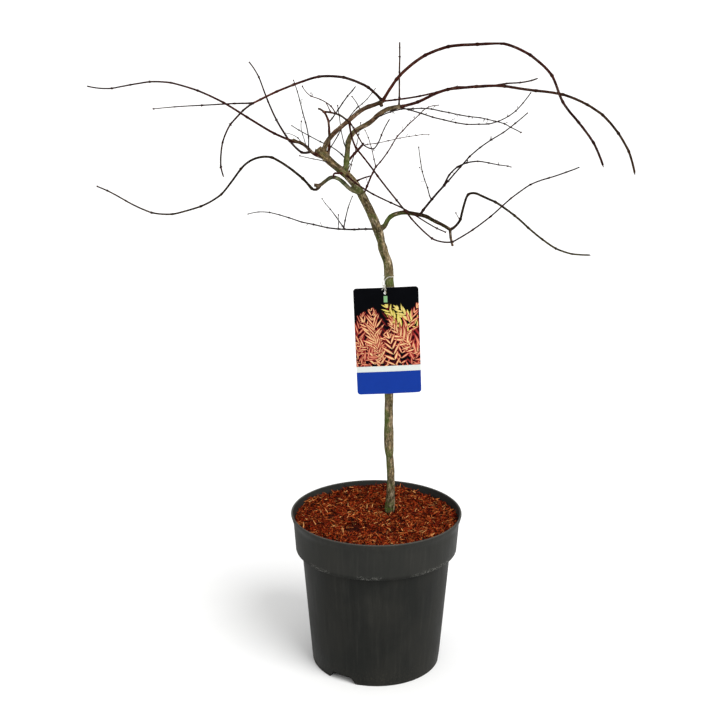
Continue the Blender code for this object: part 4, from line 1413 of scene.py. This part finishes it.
def scattered_shreds(rng, count):
    """The vertices of shreds that lie anyhow on the mix, inside the pot and clear of the trunk."""
    outer = wall_radius(MIX_LEVEL) - WALL - 0.6 * MM
    lengths = rng.gamma(3.2, 3.1, count).clip(*SHRED_LENGTHS_MM) * MM
    widths = rng.uniform(*SHRED_WIDTHS_MM, count) * MM
    thick = widths * rng.uniform(0.35, 0.8, count)
    radius = outer * np.sqrt(rng.uniform(0.0, 1.0, count))
    turn = rng.uniform(0, math.tau, count)
    x, y = radius * np.cos(turn), radius * np.sin(turn)
    lift = rng.uniform(*SHRED_LIFTS_MM, count) * MM
    z = np.array([mix_height(a, b) for a, b in zip(x, y)]) + lift
    for spot_x, spot_y, depth, reach in BARE_SPOTS:
        z -= depth * np.exp(-((x - spot_x) ** 2 + (y - spot_y) ** 2) / reach ** 2)
    turns = shred_turns(
        rng.uniform(0, math.tau, count), rng.normal(0, 0.42, count), rng.uniform(-1.2, 1.2, count))
    shapes = shred_shapes(rng, lengths, widths, thick)
    verts = np.einsum("kij,kmj->kmi", turns, shapes) + np.stack([x, y, z], axis=1)[:, None]
    over = (np.linalg.norm(verts[..., :2], axis=2).max(axis=1) - outer).clip(0)
    verts[..., 0] -= (over * np.cos(turn))[:, None]
    verts[..., 1] -= (over * np.sin(turn))[:, None]
    verts[..., 2] = np.minimum(verts[..., 2], POT_HEIGHT - 0.5 * MM)
    return verts[np.hypot(x - TRUNK_FOOT.x, y - TRUNK_FOOT.y) > TRUNK_CLEARING]


def build_shreds():
    """Thousands of torn bark fibres, joined by tint."""
    rng = np.random.default_rng(SHRED_SEED)
    faces = np.array([face for block in tube_faces(len(SHRED_STATIONS), len(SHRED_CORNERS))
                      for face in np.atleast_2d(block)])
    for name, share, looks in SHRED_TINTS:
        verts = scattered_shreds(rng, int(SHRED_COUNT * share))
        offsets = np.arange(len(verts)) * verts.shape[1]
        pile = Pile()
        pile.add(verts, [(faces[None] + offsets[:, None, None]).reshape(-1, 4)])
        shreds = pile.build("mix_shreds_" + name, shred_finish("shred_" + name, looks), smooth_angle=35)
        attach(shreds, "root")


# ------------------------------------------------------------------------ tag

def tag_frame():
    return Matrix.Translation(TAG_CENTRE) @ Matrix.Rotation(math.radians(-TAG_TILT), 4, "Y")


def tag_bow(x, z):
    """How far the card curls back from flat, towards its long edges and its foot."""
    across = x / (TAG_WIDTH / 2)
    down = max(0.0, -z / (TAG_LENGTH / 2))
    return TAG_BOW * across * across + 0.5 * TAG_BOW * down * down * (0.4 + 0.6 * across)


def place_on_tag(bm):
    """Bows flat work in the tag's own frame and moves it to its place."""
    for vert in bm.verts:
        vert.co.y += tag_bow(vert.co.x, vert.co.z)
    bmesh.ops.transform(bm, matrix=tag_frame(), verts=bm.verts)


def cut_bm(bm, place, normal, keep_below=False):
    """Cuts a mesh along a plane, and drops what lies past it where that is asked."""
    geometry = bm.verts[:] + bm.edges[:] + bm.faces[:]
    bmesh.ops.bisect_plane(
        bm, geom=geometry, plane_co=place, plane_no=normal, dist=1e-7, clear_outer=keep_below)


def card_outline():
    outline = []
    for corner, (sign_x, sign_z) in enumerate(((1, 1), (-1, 1), (-1, -1), (1, -1))):
        middle = (sign_x * (TAG_WIDTH / 2 - TAG_CORNER), sign_z * (TAG_LENGTH / 2 - TAG_CORNER))
        outline.extend(arc(middle, TAG_CORNER, 90 * corner, 90 * corner + 90))
    return outline


def build_card():
    """The card: white plastic with its front printed black, white and blue."""
    bm = bmesh.new()
    face = bm.faces.new([bm.verts.new((x, -TAG_THICKNESS / 2, z)) for x, z in card_outline()])
    if face.normal.y > 0:
        bmesh.ops.reverse_faces(bm, faces=[face])
    for x in np.linspace(-0.9, 0.9, 19) * TAG_WIDTH / 2:
        cut_bm(bm, (x, 0, 0), (1, 0, 0))
    for z in (BLUE_BAND_TOP, WHITE_BAND_TOP, *np.linspace(-0.9, 0.9, 10) * TAG_LENGTH / 2):
        cut_bm(bm, (0, 0, z), (0, 0, 1))
    push(bm, bm.faces[:], (0, TAG_THICKNESS, 0))
    bmesh.ops.recalc_face_normals(bm, faces=bm.faces)
    for face in bm.faces:
        height = face.calc_center_median().z
        if face.normal.y < -0.9:
            face.material_index = 1 if height < BLUE_BAND_TOP else 2 if height < WHITE_BAND_TOP else 3
    inks = (
        print_finish("card_plastic", (228, 230, 226), 0.04, roughness=0.4),
        print_finish("ink_blue", (19, 58, 156), 0.05, roughness=0.4),
        print_finish("ink_white", (227, 233, 228), 0.03, roughness=0.4),
        print_finish("ink_black", (6, 7, 11), 0.25, specular=0.02),
    )
    card = to_object("tag_card", bm, *inks, smooth_angle=30)
    punch = bmesh.new()
    bmesh.ops.create_cone(
        punch, cap_ends=True, segments=40, radius1=TAG_HOLE_RADIUS, radius2=TAG_HOLE_RADIUS, depth=10 * MM,
        matrix=Matrix.Translation(TAG_HOLE_OFFSET) @ Matrix.Rotation(math.radians(90), 4, "X"))
    apply_cuts(card, [to_object("hole_cutter", punch)])
    bm = bmesh.new()
    bm.from_mesh(card.data)
    place_on_tag(bm)
    bm.to_mesh(card.data)
    bm.free()
    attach(card, "root")
    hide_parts("tag")


PICTURE_FOOT = WHITE_BAND_TOP
PICTURE_CROWN = 0.071
PICTURE_MARGIN = 0.2 * MM
PRINT_DEPTH = 0.03 * MM
PRINT_STEP = 0.025 * MM
PRINT_SEED = 3
LEAF_ROWS = 9
LEAF_TEETH = 0.15
PATCH_PLACE = (-0.001, 0.0805)
PATCH_HALF_WIDTH = 3.4 * MM
PATCH_HALF_HEIGHT = 6 * MM


def picture_edge(x):
    """The curved upper edge of the printed picture: low at the left, level at the right."""
    return PICTURE_CROWN - 0.026 * max(0.0, (-0.004 - x) / (TAG_WIDTH / 2)) ** 1.5


def leaf_outline(length, width, toothed):
    """A lance-shaped leaf's outline: x across, z from foot to tip."""
    right = []
    for row in range(LEAF_ROWS + 1):
        share = row / LEAF_ROWS
        half = width / 2 * math.sin(math.pi * share ** 0.8) * (1.0 - LEAF_TEETH * toothed * (row % 2))
        right.append((half, share * length))
    left = [(-x, z) for x, z in reversed(right[1:-1])]
    return right + left


class PrintLayer:
    """Flat ink shapes of one colour, at one level above the card."""

    def __init__(self, level):
        self.bm = bmesh.new()
        self.level = level

    def shape(self, outline, x, z, turn):
        cosine, sine = math.cos(turn), math.sin(turn)
        self.bm.faces.new([
            self.bm.verts.new((x + a * cosine - b * sine, 0.0, z + a * sine + b * cosine))
            for a, b in outline])

    def trim(self):
        """Cuts off what lies outside the picture."""
        half = TAG_WIDTH / 2 - PICTURE_MARGIN
        cut_bm(self.bm, (half, 0, 0), (1, 0, 0), keep_below=True)
        cut_bm(self.bm, (-half, 0, 0), (-1, 0, 0), keep_below=True)
        cut_bm(self.bm, (0, 0, PICTURE_FOOT), (0, 0, -1), keep_below=True)
        for x in np.linspace(-half, 0.0, 9):
            slope = (picture_edge(x + 0.5 * MM) - picture_edge(x - 0.5 * MM)) / MM
            cut_bm(self.bm, (x, 0, picture_edge(x)), Vector((-slope, 0, 1)).normalized(), keep_below=True)

    def build(self, name, material):
        for vert in self.bm.verts:
            vert.co.y = -TAG_THICKNESS / 2 - self.level
        push(self.bm, self.bm.faces[:], (0, PRINT_DEPTH, 0))
        bmesh.ops.recalc_face_normals(self.bm, faces=self.bm.faces)
        place_on_tag(self.bm)
        piece = to_object(name, self.bm, material, smooth_angle=20)
        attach(piece, "root")


def frond_leaves(chooser, foot, turn, length, curl, leaf_length, leaf_width):
    """Leaves in pairs along an arching stem: place and turn of each, largest in the middle."""
    leaves = []
    pairs = int(length / (leaf_width * 1.5))
    x, z = foot
    for pair in range(pairs):
        share = (pair + 0.5) / pairs
        here = turn + math.radians(curl) * share
        x -= math.sin(here) * length / pairs
        z += math.cos(here) * length / pairs
        size = 0.55 + 0.45 * math.sin(math.pi * min(1.0, share * 1.1))
        for sign in (1, -1):
            lean = here + sign * math.radians(chooser.uniform(30, 66) * (1.0 - 0.45 * share))
            long, wide = chooser.uniform(0.75, 1.2), chooser.uniform(0.8, 1.15)
            leaves.append((x, z, lean, leaf_length * size * long, leaf_width * size * wide))
    leaves.append((x, z, turn + math.radians(curl), leaf_length * 0.7, leaf_width * 0.8))
    return leaves


INKS = {
    # looks, and how far a print's wash darkens them
    "dusk": ((48, 10, 14), 0.30),
    "deep_red": ((134, 26, 30), 0.30),
    "brick": ((182, 58, 56), 0.25),
    "salmon": ((222, 106, 90), 0.22),
    "peach": ((248, 180, 132), 0.14),
    "lime": ((226, 208, 92), 0.18),
    "cream": ((254, 228, 158), 0.08),
}

# Sprays of the printed picture, in millimetres and degrees: the foot's place, first turn, curl,
# length, leaf length and width, and the inks of the leaves' edges, bodies and veins
FRONDS = (
    (4, -66, 8, -14, 126, 32, 9.4, "dusk dusk deep_red"),
    (-30, -60, 30, -20, 110, 30, 9, "dusk deep_red brick"),
    (40, -60, -22, 20, 115, 30, 9, "dusk deep_red brick"),
    (54, 4, 56, -30, 80, 22, 5.6, "lime lime cream"),
    (60, 16, 30, 20, 58, 20, 5.2, "lime cream lime"),
    (22, -64, -2, -26, 130, 27, 6.6, "brick salmon cream"),
    (-52, -60, 12, -30, 108, 27, 6.6, "deep_red brick peach"),
    (8, -66, 34, 26, 118, 26, 6.4, "deep_red salmon cream"),
    (58, -56, 14, 24, 105, 27, 6.6, "deep_red brick peach"),
    (-30, -64, -14, 20, 112, 27, 6.6, "brick peach cream"),
    (-40, -56, 40, -26, 95, 26, 6.2, "deep_red salmon cream"),
    (34, -64, -34, 24, 98, 26, 6.4, "brick salmon peach"),
    (-64, -24, -44, -34, 86, 24, 5.8, "deep_red salmon cream"),
    (64, -28, 58, -30, 80, 24, 5.6, "brick peach cream"),
    (-12, -62, 4, 26, 104, 26, 6.2, "brick peach cream"),
    (-62, -58, -34, -22, 66, 23, 6, "deep_red salmon peach"),
    (-14, -40, 12, -8, 118, 25, 6, "deep_red salmon cream"),
    (16, -68, 4, 12, 74, 27, 6.4, "brick peach cream"),
)

# How much of a leaf's length and width each ink covers
LEAF_LAYERS = ((1.0, 1.0), (0.90, 0.56), (0.84, 0.20))


def build_print():
    """A generic picture of leafy sprays in autumn colours on black, and a plain green patch."""
    finishes = {ink: print_finish("ink_" + ink, *looks) for ink, looks in INKS.items()}
    chooser = random.Random(PRINT_SEED)
    for number, (x, z, turn, curl, *sizes, inks) in enumerate(FRONDS, start=1):
        length, leaf_length, leaf_width = (size * MM for size in sizes)
        leaves = frond_leaves(
            chooser, (x * MM, z * MM), math.radians(turn), length, curl, leaf_length, leaf_width)
        for depth, (ink, (long, wide)) in enumerate(zip(inks.split(), LEAF_LAYERS)):
            layer = PrintLayer((number + depth / len(LEAF_LAYERS)) * PRINT_STEP)
            for *place, size, width in leaves:
                layer.shape(leaf_outline(size * long, width * wide, toothed=depth == 0), *place)
            layer.trim()
            layer.build(f"print_spray_{number}_{depth + 1}", finishes[ink])
    patch = PrintLayer(PRINT_STEP)
    corners = ((-1, -1), (1, -1), (1, 1), (-1, 1))
    patch.shape([(a * PATCH_HALF_WIDTH, b * PATCH_HALF_HEIGHT) for a, b in corners], *PATCH_PLACE, 0.0)
    patch.build("print_patch", print_finish("ink_green", (138, 186, 132)))


RING_BEARINGS = range(-95, 216, 31)
RING_SLACK = 0.9 * MM
RISING_STOPS_MM = ((0, -0.4, -1.2), (-0.5, -1.6, 2), (-1.5, -1.8, 15), (-0.5, -1.0, 24))
FALLING_STOPS_MM = ((-5.0, 1.0, 18), (-3.0, 1.6, 4), (-1.0, 1.4, -0.6))
KNOT_OFFSET_MM = (-1.8, -1.4, 13.0)
KNOT_SIZE = 0.95 * MM
KNOT_STEPS = 30
TAIL_LEANS = (-0.5, 0.35)


def string_stops():
    """A closed loop: through the tag's hole, up, and round the trunk."""
    hole = tag_frame() @ TAG_HOLE_OFFSET
    trunk = limb_path("trunk")
    near = int(np.argmin(abs(trunk[:, 2] - RING_LEVEL)))
    centre = Vector(trunk[near])
    ring = float(radius_at("trunk", near / PATH_STEPS)) + STRING_RADIUS + RING_SLACK
    stops = [hole + Vector(offset) * MM for offset in RISING_STOPS_MM]
    for bearing in RING_BEARINGS:
        turn = math.radians(bearing)
        stops.append(centre + Vector((math.cos(turn) * ring, math.sin(turn) * ring, 0)))
    stops.extend(hole + Vector(offset) * MM for offset in FALLING_STOPS_MM)
    return stops


def closed_tube(pile, stops, per_stop):
    """A tube of the string's size along a smooth closed line through the stops."""
    stops = np.array([tuple(stop) for stop in stops])
    points = []
    for number in range(len(stops)):
        a, b, c, d = (stops[(number + shift) % len(stops)] for shift in (-1, 0, 1, 2))
        for step in range(per_stop):
            t = step / per_stop
            points.append(0.5 * (2 * b + (c - a) * t + (2 * a - 5 * b + 4 * c - d) * t ** 2
                                 + (3 * b - a - 3 * c + d) * t ** 3))
    points.append(points[0])
    pile.add(*sweep(points, np.full((len(points), 1), STRING_RADIUS), 10))


def build_string():
    """The tag's nylon loop with its overhand knot and the knot's two tails."""
    pile = Pile()
    closed_tube(pile, string_stops(), per_stop=6)
    knot = tag_frame() @ TAG_HOLE_OFFSET + Vector(KNOT_OFFSET_MM) * MM
    loops = []
    for turn in (math.tau * step / KNOT_STEPS for step in range(KNOT_STEPS)):
        trefoil = Vector((
            0.8 * (math.sin(turn) + 2 * math.sin(2 * turn)), -math.sin(3 * turn),
            math.cos(turn) - 2 * math.cos(2 * turn)))
        loops.append(knot + KNOT_SIZE * trefoil)
    closed_tube(pile, loops, per_stop=3)
    for lean in TAIL_LEANS:
        tail = [knot + Vector((lean * step * 2.4, -0.6, -step * 1.9)) * MM for step in range(5)]
        pile.add(*sweep([tuple(point) for point in tail], np.full((5, 1), STRING_RADIUS * 0.9), 8))
    looks = ((0.3, seen(190, 186, 172)), (0.7, seen(230, 227, 216)))
    finish = grained_finish("string_nylon", 0.3, (1200, 1200, 700), 2, looks, (0.3, 0.5), 0.1 * MM)
    string = pile.build("tag_loop", finish, smooth_angle=60)
    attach(string, "root")
    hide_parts("tag_string")


# ---------------------------------------------------------------------- studio

CAMERA_PLACE = (-0.0313, -2.104, 1.179)
CAMERA_PITCH = 74.77
CAMERA_LENS = 58.65
CAMERA_SENSOR = 36.0
FLOOR_HALF = 400.0
SKY_ZENITH = 0.85
SKY_HORIZON = 1.15
SUNS = (
    # name, heading the light comes from, strength, angle in degrees
    ("key", (0.50, -0.55, 0.67), 2.7, 40),
    ("fill", (0.05, -0.80, 0.60), 0.4, 60),
)


def build_floor():
    bm = bmesh.new()
    bmesh.ops.create_grid(bm, x_segments=8, y_segments=8, size=FLOOR_HALF)
    looks = ((0.3, (0.79, 0.79, 0.79)), (0.7, (0.82, 0.82, 0.81)))
    finish = grained_finish("floor_paper", 0.1, 3, 3, looks, (0.85, 0.95))
    to_object("floor", bm, finish)


def build_sky():
    """A pale sky, a little brighter at the horizon, where the floor meets it."""
    world = bpy.data.worlds.new("studio")
    bpy.context.scene.world = world
    world.use_nodes = True
    sky = Nodes(world.node_tree)
    generated = sky.add("TexCoord").outputs["Generated"]
    height = sky.add("SeparateXYZ", {"Vector": generated}).outputs["Z"]
    background = sky.tree.nodes["Background"]
    background.inputs["Color"].default_value = (1.0, 1.0, 1.0, 1.0)
    sky.feed(background.inputs["Strength"], sky.window(height, 0.06, 0.35, SKY_HORIZON, SKY_ZENITH))


def build_studio():
    """A pale floor that meets a pale sky, two wide soft lamps from the front, and the camera."""
    build_floor()
    build_sky()
    for name, heading, strength, angle in SUNS:
        light = bpy.data.lights.new(name, "SUN")
        light.energy = strength
        light.angle = math.radians(angle)
        lamp = link(name, light)
        lamp.location = Vector(heading) * 3.0
        lamp.rotation_euler = Vector(heading).to_track_quat("Z", "Y").to_euler()
    camera = bpy.data.cameras.new("camera")
    camera.lens = CAMERA_LENS
    camera.sensor_width = CAMERA_SENSOR
    camera.clip_end = 2000.0
    eye = link("camera", camera)
    eye.location = CAMERA_PLACE
    eye.rotation_euler = (math.radians(CAMERA_PITCH), 0.0, 0.0)
    bpy.context.scene.camera = eye
    bpy.context.scene.view_settings.view_transform = "Standard"


def build_tree():
    bark = bark_finish()
    build_skin(bark)
    whip_buds, twig_buds = Buds(), Buds()
    for name in WHIPS:
        build_whip(name, bark, whip_buds)
    build_twigs(twig_buds)
    looks = ((0.35, seen(34, 18, 17)), (0.65, seen(78, 38, 30)))
    scales = grained_finish("bud_scales", 0.04, 1400, 2, looks, (0.38, 0.6), 0.15 * MM)
    for name, buds, slot in (
            ("buds_on_shoots", whip_buds, "whip_bark"), ("buds_on_twigs", twig_buds, "twigs")):
        piece = buds.build(name, scales)
        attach(piece, "root")


build_tree()
build_pot()
build_bed()
build_shreds()
build_card()
build_print()
build_string()
build_studio()
